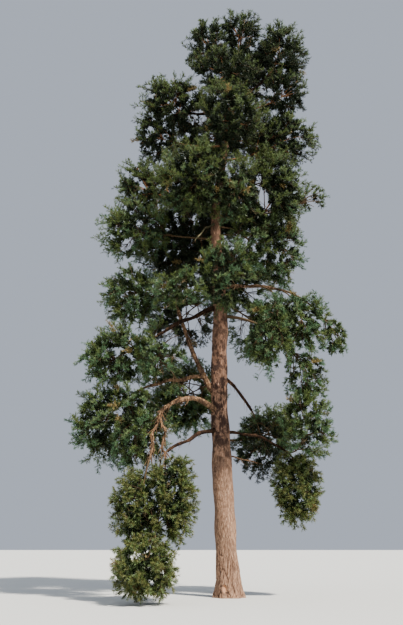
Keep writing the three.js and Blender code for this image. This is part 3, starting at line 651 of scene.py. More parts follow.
def make_trunk():
    """The surface: centre at the height, plus radius times cosine and sine of the angle.

    Rings lie closer near the ground. The bark's cells sway from side to side and are lifted in waves,
    so that no row of them is level. Each knot is a ring of wood round a hollow.
    """
    share = np.linspace(0, 1, TRUNK_RINGS)
    height = (TRUNK_TOP * (EVEN_RINGS * share + (1 - EVEN_RINGS) * share**RING_POWER))[:, None]
    angle = (np.arange(TRUNK_SIDES) / TRUNK_SIDES * 2 * math.pi)[None, :]
    height, angle = np.broadcast_arrays(height, angle)
    turn = angle / (2 * math.pi)
    bent = [(*row, waves([(*phase, 0)], angle, height)) for *row, phase in SWAY_WAVES]
    sway = waves(bent, angle, height)
    lift = waves(LIFT_WAVES, angle, height)

    def cells(around, tall, salt, swaying=1.0):
        """The bark's cells: so many round the trunk, in rows of one height."""
        return bark_cells(turn * around + swaying * sway, height / tall + lift, around, salt)

    def shaded(much, inside):
        """1 inside a cell, and so much darker at its edge."""
        return 1 - much + much * inside

    plates, plate_tones = cells(PLATES_AROUND, PLATE_HEIGHT, 3)
    cracks, _ = cells(2 * PLATES_AROUND, 0.5 * PLATE_HEIGHT, 8)
    flakes, flake_tones = cells(FLAKES_AROUND, FLAKE_HEIGHT, 21)
    furrows, _ = cells(FURROWS_AROUND, FURROW_HEIGHT, 33, FURROW_SWAY)
    old = 1 - smooth_step(*OLD_BARK, height)
    tones = old * plate_tones + (1 - old) * flake_tones
    cleft = (1 - smooth_step(*FURROW_TOP, height)) * (1 - smooth_step(0.0, FURROW_EDGE, furrows))
    body = smooth_step(0.0, PLATE_EDGE, plates)
    fine = smooth_step(0.0, CRACK_EDGE, cracks)
    flaky = smooth_step(0.0, FLAKE_EDGE, flakes)
    lumps = waves(LUMP_WAVES, angle, height)
    sets_in = np.clip(height / FLAKES_SET_IN, 0, 1)
    relief = (old * PLATE_DEPTH * (body + CRACK_WEIGHT * fine - PLATE_LEVEL) + LUMP_SIZE * lumps * old
              + (1 - old) * FLAKE_DEPTH * (flaky - 0.5) * sets_in - FURROW_DEPTH * cleft)
    dark = np.zeros_like(height)
    for at_height, bearing, size in KNOTS:
        apart = apart_on_bark(height, angle, at_height, bearing, size, KNOT_TALL * size)
        hollow = np.exp(-KNOT_HOLLOW[1] * apart**2)
        relief = (relief + KNOT_RING[0] * size * np.exp(-KNOT_RING[1] * (apart - 1) ** 2)
                  - KNOT_HOLLOW[0] * size * hollow)
        dark = np.maximum(dark, hollow)
    ragged = waves(RAGGED_WAVES, angle, height)
    scar = smooth_step(*SCAR_EDGE, apart_on_bark(height, angle, *SCAR) + ragged)
    relief = relief * (1 - scar) - SCAR_DEPTH * scar
    radius = trunk_radius(height, angle) + relief * np.clip(height / GROUND_FADE, 0, 1)
    out = np.stack([np.cos(angle), np.sin(angle), np.zeros_like(angle)], axis=-1)
    points = (trunk_point(height) + out * radius[..., None]).reshape(-1, 3)
    plated = shaded(PLATE_SHADE, body) * shaded(CRACK_SHADE, fine)
    plate = old * plated + (1 - old) * shaded(FLAKE_SHADE, flaky)
    plate = np.clip(plate * (1 - KNOT_SHADE * dark) * (1 - FURROW_SHADE * cleft), 0, 1)
    return make_mesh("trunk_bark_relief", points, tube_faces(TRUNK_RINGS, TRUNK_SIDES), [trunk_bark],
                     attributes={"plate": plate, "scar": scar, "tone": tones})


trunk = make_trunk()
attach(trunk, "root")
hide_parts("trunk")
print("trunk:", triangles_in(trunk), "triangles")

# %% [markdown]
# ## The boughs
#
# The bare boughs are tubes along the frame's own curves, with a swollen collar where they leave the
# trunk and shallow flakes on their bark. A curve object with a bevel would be quicker, but an array lets
# the bark's relief and its stored plate number follow the limb.

# %% Grow the boughs
BOUGH_SIDES = 26
BOUGH_RINGS = 130
COLLAR_SWELL = 0.4
COLLAR_LENGTH = 0.14
BOUGH_FLAKES_AROUND = 7
BOUGH_FLAKE_LENGTH = 0.13
BOUGH_FLAKE_DEPTH = 0.16  # as a share of the radius, like the knots and the collar
BOUGH_FLAKE_LEVEL = 0.6
BOUGH_SHADE = 0.75
KNOT_WAVES = [(0.10, 5.3, 1), (0.07, 11.7, 2)]  # share, turns a metre (in radians), how far the salt turns it
# boughs whose bark is painted in shade
PAINTED_SHADE_BOUGHS = ["bough_low_left", "bough_mid_left", "bough_right_drop", "bough_right_low",
                 "bough_upper_left", "bough_top_right"]


def make_bough(name, limb, salt):
    """A tube whose radius is the taper, a collar that fades along it, knots and flakes."""
    t = np.linspace(0, 1, BOUGH_RINGS)
    centre = limb.at(t)
    length = np.concatenate([[0], np.cumsum(np.linalg.norm(np.diff(centre, axis=0), axis=1))])
    angle = np.arange(BOUGH_SIDES) / BOUGH_SIDES * 2 * math.pi
    turn, run = np.meshgrid(angle / (2 * math.pi), length)
    edges, tones = bark_cells(turn * BOUGH_FLAKES_AROUND, run / BOUGH_FLAKE_LENGTH, BOUGH_FLAKES_AROUND, salt)
    flakes = smooth_step(0.0, FLAKE_EDGE, edges)
    knots = sum(share * np.sin(run * up + phase * salt) for share, up, phase in KNOT_WAVES)
    collar = COLLAR_SWELL * np.exp(-run / COLLAR_LENGTH)
    swell = 1 + collar + knots + BOUGH_FLAKE_DEPTH * (flakes - BOUGH_FLAKE_LEVEL)
    radius = limb.radius(t)[:, None] * swell
    along = unit(np.gradient(centre, axis=0))
    first = unit(np.cross(along, limb.side))
    second = np.cross(along, first)
    rim = turned(first[:, None], second[:, None], angle)
    points = (centre[:, None] + rim * radius[..., None]).reshape(-1, 3)
    material = dead_bark if "dead" in name else painted_shade_bark if name in PAINTED_SHADE_BOUGHS else bough_bark
    piece = make_mesh(name + "_bark", points, tube_faces(BOUGH_RINGS, BOUGH_SIDES), [material], smooth=True,
                      attributes={"plate": 1 - BOUGH_SHADE + BOUGH_SHADE * flakes, "tone": tones})
    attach(piece, "root")
    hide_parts(name)
    return piece


bough_pieces = [make_bough(name, limbs[name], BARK_SEED + i) for i, (name, *_) in enumerate(BOUGHS)]
print(len(bough_pieces), "boughs:", sum(triangles_in(p) for p in bough_pieces), "triangles")

# %% [markdown]
# ## Bare twigs on the boughs
#
# Old boughs keep a rough fringe of short dead twigs where shoots have died back, thickest where the
# arching bough turns down. Each is a thin tube on a parabola from the bark outwards and down. They could
# be curves with a bevel, but arrays make all of them at once.

# %% Grow the fringe
# how many twigs a bough keeps, from what share of its length on, and the radius of a twig's foot
FRINGE = {"bough_arch": (30, 0.5, 0.013), "bough_hang_outer": (64, 0.0, 0.014),
          "bough_hang_inner": (46, 0.0, 0.012), "bough_low_left": (14, 0.5, 0.009),
          "bough_steep_left": (26, 0.1, 0.008), "bough_fork_left": (22, 0.1, 0.008),
          "bough_mid_left": (24, 0.1, 0.008), "bough_right_high": (14, 0.2, 0.007),
          "bough_right_drop": (14, 0.2, 0.008), "bough_right_low": (16, 0.2, 0.008),
          "bough_right_thin": (8, 0.3, 0.006), "bough_dead_front": (16, 0.1, 0.007)}
FRINGE_LENGTH = (0.08, 0.38)
FRINGE_STEPS, FRINGE_SIDES = 5, 4
FRINGE_SUNK = 0.8  # twigs start at this share of the bough's radius
# how far a twig goes to the side, along its bough and down, its share of the length, and its crook
FRINGE_FIRST_PART = (0.45, 0.8, 0.0, 0.45, 0.07)
FRINGE_SECOND_PART = (0.35, 0.6, 0.45, 0.6, 0.1)
FRINGE_TAPER = 0.35  # the radius at the tip, as a share of the foot's
FRINGE_SPREAD = (0.6, 1.4)  # how much thinner or thicker one twig is than another
FRINGE_PLATE, FRINGE_TONE = 0.9, 0.5


def fringe_lines(limb, count, start, rng):
    """Parabolas from places on a bough, out to one side and then down or along."""
    t = rng.uniform(start, 1.0, count)
    foot = limb.at(t)
    along = unit(limb.at(np.minimum(t + 0.02, 1.02)) - limb.at(t - 0.02))
    side = unit(np.cross(along, rng.normal(size=(count, 3))))
    foot = foot + side * limb.radius(t)[:, None] * FRINGE_SUNK
    length = rng.uniform(*FRINGE_LENGTH, (count, 1))

    def onward(place, out, on, down, share, crook):
        """The next place: some way out, on and down, and a little crooked."""
        way = out * side + on * along - down * UP
        return place + way * share * length + crook * length * rng.normal(size=(count, 3))

    middle = onward(foot, *FRINGE_FIRST_PART)
    return parabolas(foot, middle, onward(middle, *FRINGE_SECOND_PART), FRINGE_STEPS)


fringe_rng = np.random.default_rng(FRINGE_SEED)
fringe = np.concatenate([fringe_lines(limbs[name], count, start, fringe_rng)
                         for name, (count, start, _) in FRINGE.items()])
feet_radii = np.concatenate([np.full(count, radius) for count, _, radius in FRINGE.values()])
feet_radii = fringe_rng.uniform(*FRINGE_SPREAD, len(fringe)) * feet_radii
thin = np.linspace(1, FRINGE_TAPER, FRINGE_STEPS)[None] * feet_radii[:, None]
points, faces = tubes(fringe, thin, FRINGE_SIDES)
fringe_piece = make_mesh("bough_fringe", points, faces, [bough_bark], smooth=True,
                         attributes={"plate": np.full(len(points), FRINGE_PLATE),
                                     "tone": np.full(len(points), FRINGE_TONE)})
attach(fringe_piece, "root")
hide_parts(*FRINGE)
print(len(fringe), "bare twigs:", triangles_in(fringe_piece), "triangles")

# %% [markdown]
# ## The space of each mass
#
# A mass of foliage fills an egg-shaped space. Where two spaces meet, a flat wall half way between them
# keeps each mass to its own side, so the crown reads as separate clumps with gaps, as a real pine's
# does. The walls are worked out by the frame's own rule.

# %% Share out the crown
WALL_GAP = 0.025
GROUND_GAP = 0.03
LIMB_GAP = 0.06
KEEP_FROM_TRUNK = 0.05


class Space:
    """An egg-shaped space: centre, three axes, half sizes and the walls it shares."""

    def __init__(self, at, half):
        self.centre = polar(*at)
        self.axes = np.stack([polar(at[0], 1, 0), polar(at[0] + 90, 1, 0), UP])
        self.half = np.array(half)
        self.walls = []

    def point(self, way, share):
        """A point at a share of the half size, in a direction on the unit sphere."""
        return self.centre + (way * self.half * share) @ self.axes

    def depth(self, points):
        """How far out points are: 0 at the centre and 1 on the egg."""
        return np.linalg.norm((points - self.centre) @ self.axes.T / self.half, axis=-1)

    def holds(self, points, lift=0.0, overlap=0.0):
        """Which points are inside the egg, its walls and above the ground; overlap moves the walls out."""
        inside = (self.depth(points) < 1.0) & (points[..., 2] > GROUND_GAP + lift)
        for line, limit in self.walls:
            inside &= points @ line < limit + overlap
        return inside


spaces = [Space(at, half) for _, at, half, _, _ in MASSES]
for i, one in enumerate(spaces):
    for other in spaces[i + 1:]:
        line = other.centre - one.centre
        apart = np.linalg.norm(line)
        line = line / apart
        mine, its = (np.linalg.norm((s.axes @ line) * s.half) for s in (one, other))
        if mine + its + 2 * WALL_GAP < apart:
            continue
        place = line @ one.centre + apart * mine / (mine + its)
        one.walls.append((line, place - WALL_GAP))
        other.walls.append((-line, -place - WALL_GAP))
print("walls:", sum(len(s.walls) for s in spaces) // 2)


# %% Keep foliage off the limbs
SAMPLES = 60  # places on each bough
along_bough = np.linspace(0, 1, SAMPLES)
bough_samples = np.concatenate([limb.at(along_bough) for limb in limbs.values()])
bough_radii = np.concatenate([limb.radius(along_bough) for limb in limbs.values()])


def is_clear(points):
    """Which points are clear of the trunk and of the bare boughs."""
    height = np.clip(points[:, 2], 0, TRUNK_TOP)
    from_trunk = np.linalg.norm((points - trunk_point(height))[:, :2], axis=1)
    clear = (from_trunk > through(TRUNK_TAPER, height, 1) + KEEP_FROM_TRUNK) | (points[:, 2] > TRUNK_TOP)
    for first in range(0, len(bough_samples), SAMPLES):
        one_bough = slice(first, first + SAMPLES, 2)
        apart = np.linalg.norm(points[:, None] - bough_samples[None, one_bough], axis=2)
        clear &= (apart - bough_radii[None, one_bough]).min(axis=1) > LIMB_GAP
    return clear


print("limb samples:", len(bough_samples))

# %% [markdown]
# ## Openings in the crown
#
# Sky shows through the crown in some places, and the lower boughs show in front of it. Growth keeps out
# of both. Each opening is a place in the picture, and a clump or shoot whose line of sight from the
# viewer passes through it is left out. Cutting holes afterwards would leave needles without twigs.

# %% Keep the openings free
# place across and down the picture, half width, half height, and the share that is left out
SKY_GAPS = [(197, 118, 10, 9, 0.8), (212, 137, 4, 5, 0.7), (268, 92, 9, 4, 0.7), (263, 120, 3, 4, 0.6),
            (259, 182, 4, 9, 1.0), (264, 198, 5, 10, 1.0), (268, 209, 4, 7, 0.9), (186, 219, 15, 9, 0.45),
            (160, 228, 14, 4, 0.4), (126, 245, 6, 7, 0.9), (235, 252, 7, 12, 0.3), (250, 270, 15, 14, 0.15),
            (251, 293, 7, 9, 0.9), (192, 311, 11, 7, 1.0), (194, 321, 12, 10, 0.9), (171, 338, 7, 8, 0.9),
            (186, 352, 12, 24, 0.3), (192, 388, 13, 8, 0.8), (242, 324, 8, 16, 0.95), (281, 362, 5, 12, 0.8),
            (260, 372, 4, 7, 0.6), (111, 375, 12, 4, 0.3)]
# the stretch of each bough that shows, as shares of its length: none of it for None, and the whole
# bough where there is no row
SHOWN_STRETCH = {"bough_upper_left": None, "bough_top_right": None, "bough_right_high": (0.3, 0.9),
                 "bough_mid_left": (0.15, 0.95), "bough_dead_front": (0.12, 1.0),
                 "bough_hang_outer": (0.0, 0.85), "bough_hang_inner": (0.0, 0.8),
                 "bough_right_low": (0.0, 0.7), "bough_steep_left": (0.0, 0.85)}
SHOWN_MARGIN = 5.5  # picture elements on each side of a bough


def in_picture(points):
    """Places across and down the picture, and distances ahead of the lens: a pinhole's projection."""
    offset = points - np.array(CAMERA_PLACE)
    ahead = offset @ np.array([0.0, math.cos(CAMERA_TILT), math.sin(CAMERA_TILT)])
    rise = offset @ np.array([0.0, -math.sin(CAMERA_TILT), math.cos(CAMERA_TILT)])
    across = PICTURE_WIDTH / 2 + FOCAL_PIXELS * offset[:, 0] / ahead
    return np.stack([across, PICTURE_HEIGHT / 2 - FOCAL_PIXELS * rise / ahead], axis=1), ahead


shown_samples = np.concatenate([limb.at(np.linspace(*SHOWN_STRETCH.get(name, (0.0, 1.0)), SAMPLES))
                                for name, limb in limbs.items() if SHOWN_STRETCH.get(name, True)])
shown_places, shown_distances = in_picture(shown_samples)


def is_open(points, luck):
    """Which points are in an opening, or in front of a bough that shows; luck is a draw for each."""
    places, distances = in_picture(points)
    left_out = np.zeros(len(points), dtype=bool)
    for across, down, wide, tall, share in SKY_GAPS:
        apart = np.hypot((places[:, 0] - across) / wide, (places[:, 1] - down) / tall)
        left_out |= (apart < 1) & (luck < share)
    apart = np.linalg.norm(places[:, None] - shown_places[None], axis=2)
    in_front = (apart < SHOWN_MARGIN) & (distances[:, None] < shown_distances[None])
    return left_out | in_front.any(axis=1)


print("openings:", len(SKY_GAPS), "and", len(shown_samples), "places on boughs that show")

# %% [markdown]
# ## Needles and their tints
#
# Pine needles sit in pairs all round a shoot and lean towards its tip, so each shoot is a soft brush.
# One needle is a thin pointed blade. The needles are bluish olive, the newest shoots are yellower, and a
# few dead sprays are straw-coloured. Light and shade are painted into the tints as well: shoots on the
# outside that point up and out take a pale painted sunlit green, and those that point down, lie deep
# inside or grow high in the crown take painted shade in dark and deep green. Each tint is one plain
# material, and whole sprays take one tint or another. Painting the colours by an image would not survive
# an export.

# %% Needle tints
TINTS = {
    "needles_olive": (0.118, 0.158, 0.050),
    "needles_blue_green": (0.092, 0.165, 0.082),
    # pale green: painted sunlight on shoots that face up and out, and pale flecks in weeping masses
    "needles_pale_and_painted_sunlit": (0.162, 0.220, 0.100),
    "needles_yellow": (0.170, 0.180, 0.068),
    # painted shade, and deeper painted shade for the crown's inside and undersides
    "needles_painted_shade": (0.072, 0.104, 0.040),
    "needles_painted_deep_shade": (0.026, 0.040, 0.018),
    "needles_straw": (0.300, 0.230, 0.100),
}
NEEDLE_ROUGHNESS, NEEDLE_GLOSS = 0.5, 0.4
needle_materials = []
for tint, colour in TINTS.items():
    material, shader = new_material(tint, NEEDLE_ROUGHNESS)
    shader.inputs["Base Color"].default_value = (*colour, 1)
    shader.inputs["Specular IOR Level"].default_value = NEEDLE_GLOSS
    needle_materials.append(material)
OLIVE, BLUE_GREEN, PALE_AND_PAINTED_SUNLIT, YELLOW, PAINTED_SHADE_TINT, PAINTED_DEEP_SHADE_TINT, STRAW = range(7)
print("tints:", ", ".join(TINTS))

# %% Twig materials
TWIG_COLOURS = {
    "twig_live": (0.125, 0.085, 0.05),
    "twig_dead": (0.36, 0.28, 0.17),
    "stem_orange": (0.33, 0.17, 0.09),
}
TWIG_MATERIALS = []
for name, colour in TWIG_COLOURS.items():
    material, shader = new_material(name, 0.85)
    shader.inputs["Base Color"].default_value = (*colour, 1)
    TWIG_MATERIALS.append(material)
LIVE, DEAD, STEM = range(3)
ORANGE_FROM = 14.5  # above this height the thicker twigs have orange bark
print("twig materials:", [m.name for m in TWIG_MATERIALS])

# %% [markdown]
# ## How a mass grows
#
# Each mass grows by one rule, as in the frame but carried further. A stem runs in from its bough or from
# the trunk. Main twigs are dealt evenly round the space by the golden angle. Branchlets fill the space
# and start at the nearest place on a main twig, moved back towards its foot. Shoots with turned-up tips
# line each branchlet, and needles line each shoot. Every step works on whole arrays.

# %% Sizes of the twigs
STEM_SAMPLES = 13
STEM_STOUTNESS = 0.017  # radius at the foot, as a share of the length
STEM_RADII = (0.03, 0.01)  # least radius at the foot, and radius at the tip
STEM_PAST_CENTRE = 0.3  # how far a stem runs on, as a share of the least half size
STEM_WITH_TWIGS = 0.6  # twigs start on no more of a stem than this
STEM_ON_BOUGH = 0.9  # no thicker than this share of the bough's tip
MAIN_TWIGS = 11
MAIN_REACH = 0.62
MAIN_SAMPLES = 8
BRANCHLET_SAMPLES = 3
# how far a twig's middle is lifted as a share of its length, usually and where it weeps, and its crook
MAIN_BOW = (0.14, -0.12, 0.07)
BRANCHLET_BOW = (-0.10, -0.05, 0.10)
SHOOT_LIFT = (0.55, -0.45)  # how far shoots turn up, usually and where they weep
CLUMPS_PER_CUBIC_METRE = {"full": 18.5, "dense": 21.0, "shaded": 17.0, "loose": 14.0, "weeping": 38.0}
CLUMP_SHARES = (0.30, 0.95)
CLUMP_LIFT = 0.1  # how much higher above the ground a clump keeps than its shoots
SAMPLES_BACK = 2  # a twig starts so many samples nearer to its curve's foot than the nearest place
MINGLE = 0.16  # how far shoots reach in among their neighbours'
BILLOW_WIDTH = 1.35
BILLOW_FROM = 0.7  # how far out the billows start
BILLOW_FILL = -1.4  # the lower, the fuller
SHOOTS_PER_CLUMP = 15
SHOOTS_FROM = 0.45  # the share of a branchlet at which its shoots start
SHOOT_SHIFT = 0.05
CLUMP_WAY = (0.6, 0.5)  # how much a clump points on from its branchlet, and out of its mass
SHOOT_CROOK = 0.25
# a shoot's light here is painted light: how far the shoot faces up and out
UPWARD, OUTWARD = 0.7, 0.5  # how much each counts for a shoot's light
SHOOT_SPREAD = (5, 75)  # degrees between a shoot and its clump's direction
SHOOT_LENGTH = (0.07, 0.17)
# needles a shoot, least and most length, width
OUTER_BRUSH = (14, 0.07, 0.12, 0.0128)
WEEPING_BRUSH = (17, 0.07, 0.125, 0.0120)
# wide blades in painted shade that fill the inside of a mass
PAINTED_SHADE_BRUSH = (4, 0.10, 0.17, 0.060)
# a shoot's deep green brushes are these wide blades in painted shade
DEEP_SHARE = 0.66  # nearer the middle of its mass than this, a shoot has deep green brushes
OUTER_SHARE = 0.82  # further out than this, the wood of a live shoot is made too
BARE_SHARE = {"full": 0.05, "dense": 0.03, "shaded": 0.04, "loose": 0.12, "weeping": 0.11}
BARE_WITHIN = 0.8  # bare branchlets are no further out than this
STEM_SIDES = 8
# radius at the foot, the tip's share of it, and sides
MAIN_TUBES = (0.022, 0.4, 5)
LIVE_TUBES = (0.008, 0.5, 3)
DEAD_TUBES = (0.008, 0.4, 3)
SHOOT_RADIUS = 0.0045
EASE = 1


def even_ways(count, rng):
    """Directions dealt evenly over the sphere: even steps up, and a golden angle round each time."""
    k = np.arange(count)
    up = 1 - (2 * k + 1) / count
    turn = k * GOLDEN_ANGLE + rng.uniform(0, 2 * math.pi) + rng.uniform(-0.3, 0.3, count)
    level = np.sqrt(1 - up**2)
    return np.stack([level * np.cos(turn), level * np.sin(turn), up], axis=1)


def nearest_start(ends, curves, back):
    """For each end, a point on the nearest of some curves, a few samples nearer to that curve's foot."""
    count, samples, _ = curves.shape
    flat = curves.reshape(-1, 3)
    nearest = np.linalg.norm(ends[:, None] - flat[None], axis=2).argmin(axis=1)
    sample = np.maximum(nearest % samples - back, 0)
    return curves[nearest // samples, sample]


print("needles a shoot:", OUTER_BRUSH[0] // EASE)


# %% Needles
NEEDLES_FROM, NEEDLES_OVER = 0.10, 0.95  # where on a shoot its needles start, and over how much of it
NEEDLE_LEAN = (0.7, 1.5)  # how much more a needle points along its shoot than outwards
NEEDLE_LIFT = 0.12
NEEDLE_TWIST = 0.4
NEEDLE_SHARES = (1.05, 0.3)  # the share of its drawn length at the shoot's foot, less so much at the tip
NEEDLE_GROUND = 0.004  # no needle is lower than this


def grow_needles(feet, ways, lengths, tints, brush, rng):
    """Blades in a brush round each shoot.

    A needle starts at a share of the way along its shoot. It points along the shoot and outwards, with
    the outward direction turned by the golden angle from one needle to the next. Its three corners are
    two at its foot, half a width to each side, and one at its tip.
    """
    per_shoot, shortest, longest, width = brush
    count, per_shoot = len(feet), per_shoot // EASE
    k = np.arange(per_shoot)
    share = NEEDLES_FROM + NEEDLES_OVER * ((k + rng.uniform(0, 1, (count, per_shoot))) / per_shoot)
    first, second = square_to(ways)
    turn = k * GOLDEN_ANGLE + rng.uniform(0, 2 * math.pi, (count, 1))
    out = turned(first[:, None], second[:, None], turn)
    lean = rng.uniform(*NEEDLE_LEAN, (count, per_shoot, 1))
    way = unit(ways[:, None] * lean + out + UP * NEEDLE_LIFT)
    foot = feet[:, None] + ways[:, None] * (lengths[:, None] * share)[..., None]
    length = rng.uniform(shortest, longest, (count, per_shoot, 1))
    length = length * (NEEDLE_SHARES[0] - NEEDLE_SHARES[1] * share[..., None])
    across = unit(np.cross(way, out + NEEDLE_TWIST * rng.normal(size=out.shape))) * width / 2
    corners = np.stack([foot + across, foot - across, foot + way * length], axis=2)
    corners[..., 2] = np.maximum(corners[..., 2], NEEDLE_GROUND)
    return corners.reshape(-1, 3), np.repeat(tints, per_shoot)


# %% Tints by place, with painted light and shade
# how far up a shoot has to point to be painted lit rather than in painted shade
SHADE = {"full": -0.4, "dense": -0.1, "loose": -0.4, "shaded": 0.7, "weeping": -0.8}
# the high crown also gets more painted shade, by HIGH_SHADE and the odds of the deeper shade
HIGH_CROWN = (10.0, 15.5)  # between these heights the crown turns from bluish to brownish green
HIGH_SHADE = 0.7
# to be deep green is to take the clump's darker painted shade
DEEP_BELOW = 0.35  # how much further down a shoot points to be deep green
# the odds that a clump's painted shade is the deep green rather than the mid shade, low in the crown
DEEP_ODDS = {"full": 0.2, "dense": 0.8, "loose": 0.2, "shaded": 1.0, "weeping": 0.3}
OLIVE_CLUMPS = (0.35, 0.4)  # the share of clumps that is olive low in the crown, and how much that grows
WEEPING_SHARES = (0.5, 0.85)  # the draws up to which weeping shoots are yellow, and then olive
# where a shoot is painted sunlit
PAINTED_SUNLIT_WHERE = (0.35, 0.6, 0.8)  # how far up and out a shoot points and lies, and the least draw
STRAW_FROM = 0.988


def choose_tints(depth, rise, height, owner, clumps, habit, rng):
    """A tint for each shoot: painted shade under a clump and deep inside, painted sun on top and outside."""
    mood = rng.uniform(0, 1, clumps)[owner]
    fleck = rng.uniform(0, 1, len(owner))
    high = smooth_step(*HIGH_CROWN, height)
    tint = np.where(mood < OLIVE_CLUMPS[0] + OLIVE_CLUMPS[1] * high, OLIVE, BLUE_GREEN)
    if habit == "weeping":
        yellow, olive = WEEPING_SHARES
        tint = np.where(fleck < yellow, YELLOW, np.where(fleck < olive, OLIVE, PALE_AND_PAINTED_SUNLIT))
    else:
        least_rise, least_depth, least_draw = PAINTED_SUNLIT_WHERE
        lit = (rise > least_rise) & (depth > least_depth) & (mood + 0.25 * fleck > least_draw)
        tint = np.where(lit, PALE_AND_PAINTED_SUNLIT, tint)
    dim = rise - SHADE[habit] - HIGH_SHADE * high - 0.2 * fleck
    odds = DEEP_ODDS[habit] + (1 - DEEP_ODDS[habit]) * high
    dark = np.where(rng.uniform(0, 1, clumps)[owner] < odds, PAINTED_DEEP_SHADE_TINT, PAINTED_SHADE_TINT)
    # painted shade where dim is below 0; the clump's darker painted shade further below and deep inside
    tint = np.where(dim < 0, PAINTED_SHADE_TINT, tint)
    tint = np.where((dim < -DEEP_BELOW * (1 - 0.6 * high)) | (depth < DEEP_SHARE), dark, tint)
    return np.where(mood > STRAW_FROM, STRAW, tint)


# %% Stems and branchlets
def grow_stem(space, foot, number):
    """A stem's line and radii, and the part of the line that twigs start on.

    It sets out from the trunk or on from its bough, and ends a little past the middle of its space.
    """
    start, ahead = foot_of(foot, space.centre)
    whole = float(np.linalg.norm(space.centre - start))
    least = float(space.half.min())
    far = space.centre + unit(space.centre - start) * STEM_PAST_CENTRE * least
    radius = max(STEM_RADII[0], whole * STEM_STOUTNESS)
    if isinstance(foot, tuple):
        radius = min(radius, limbs[foot[0]].radii[1] * STEM_ON_BOUGH)
    stem = Limb(start, start + ahead * whole * 0.5, far, (radius, STEM_RADII[1]), 0.0, STEM_SEED + number)
    t = np.linspace(0, 1, STEM_SAMPLES)
    line = stem.at(t)[None]
    bare_samples = int((STEM_SAMPLES - 1) * (1 - min(STEM_WITH_TWIGS, least / whole)))
    return line, stem.radius(t)[None], line[:, bare_samples:]


def bowed(feet, ends, bow, weeps, samples, rng):
    """The middles and the lines of bowed twigs: a middle is half way, lifted and a little crooked."""
    gap = np.linalg.norm(ends - feet, axis=1, keepdims=True)
    crooks = rng.normal(size=ends.shape) * gap * bow[2]
    middles = (feet + ends) / 2 + UP * gap * bow[weeps] + crooks
    return middles, parabolas(feet, middles, ends, samples)


def place_clumps(space, habit, rng):
    """The middle of each clump: shares of the space, evenly dealt, with billows cut into the outside.

    The share is the cube root of an even draw, so that clumps are as close at the outside as inside.
    A billow is a sum of three sines, one for each axis.
    """
    count = int(float(np.prod(space.half)) * 4 / 3 * math.pi * CLUMPS_PER_CUBIC_METRE[habit])
    low, high = (share**3 for share in CLUMP_SHARES)
    shares = (low + rng.uniform(0, 1, count) * (high - low)) ** (1 / 3)
    tips = space.point(even_ways(count, rng), shares[:, None])
    billows = np.sin(tips * 2 * math.pi / BILLOW_WIDTH + rng.uniform(0, 2 * math.pi, 3)).sum(axis=1)
    tips = tips[(billows > BILLOW_FILL) | (shares < BILLOW_FROM) | (habit == "weeping")]
    inside = space.holds(tips, CLUMP_LIFT) & is_clear(tips)
    return tips[inside & ~is_open(tips, rng.uniform(0, 1, len(tips)))]


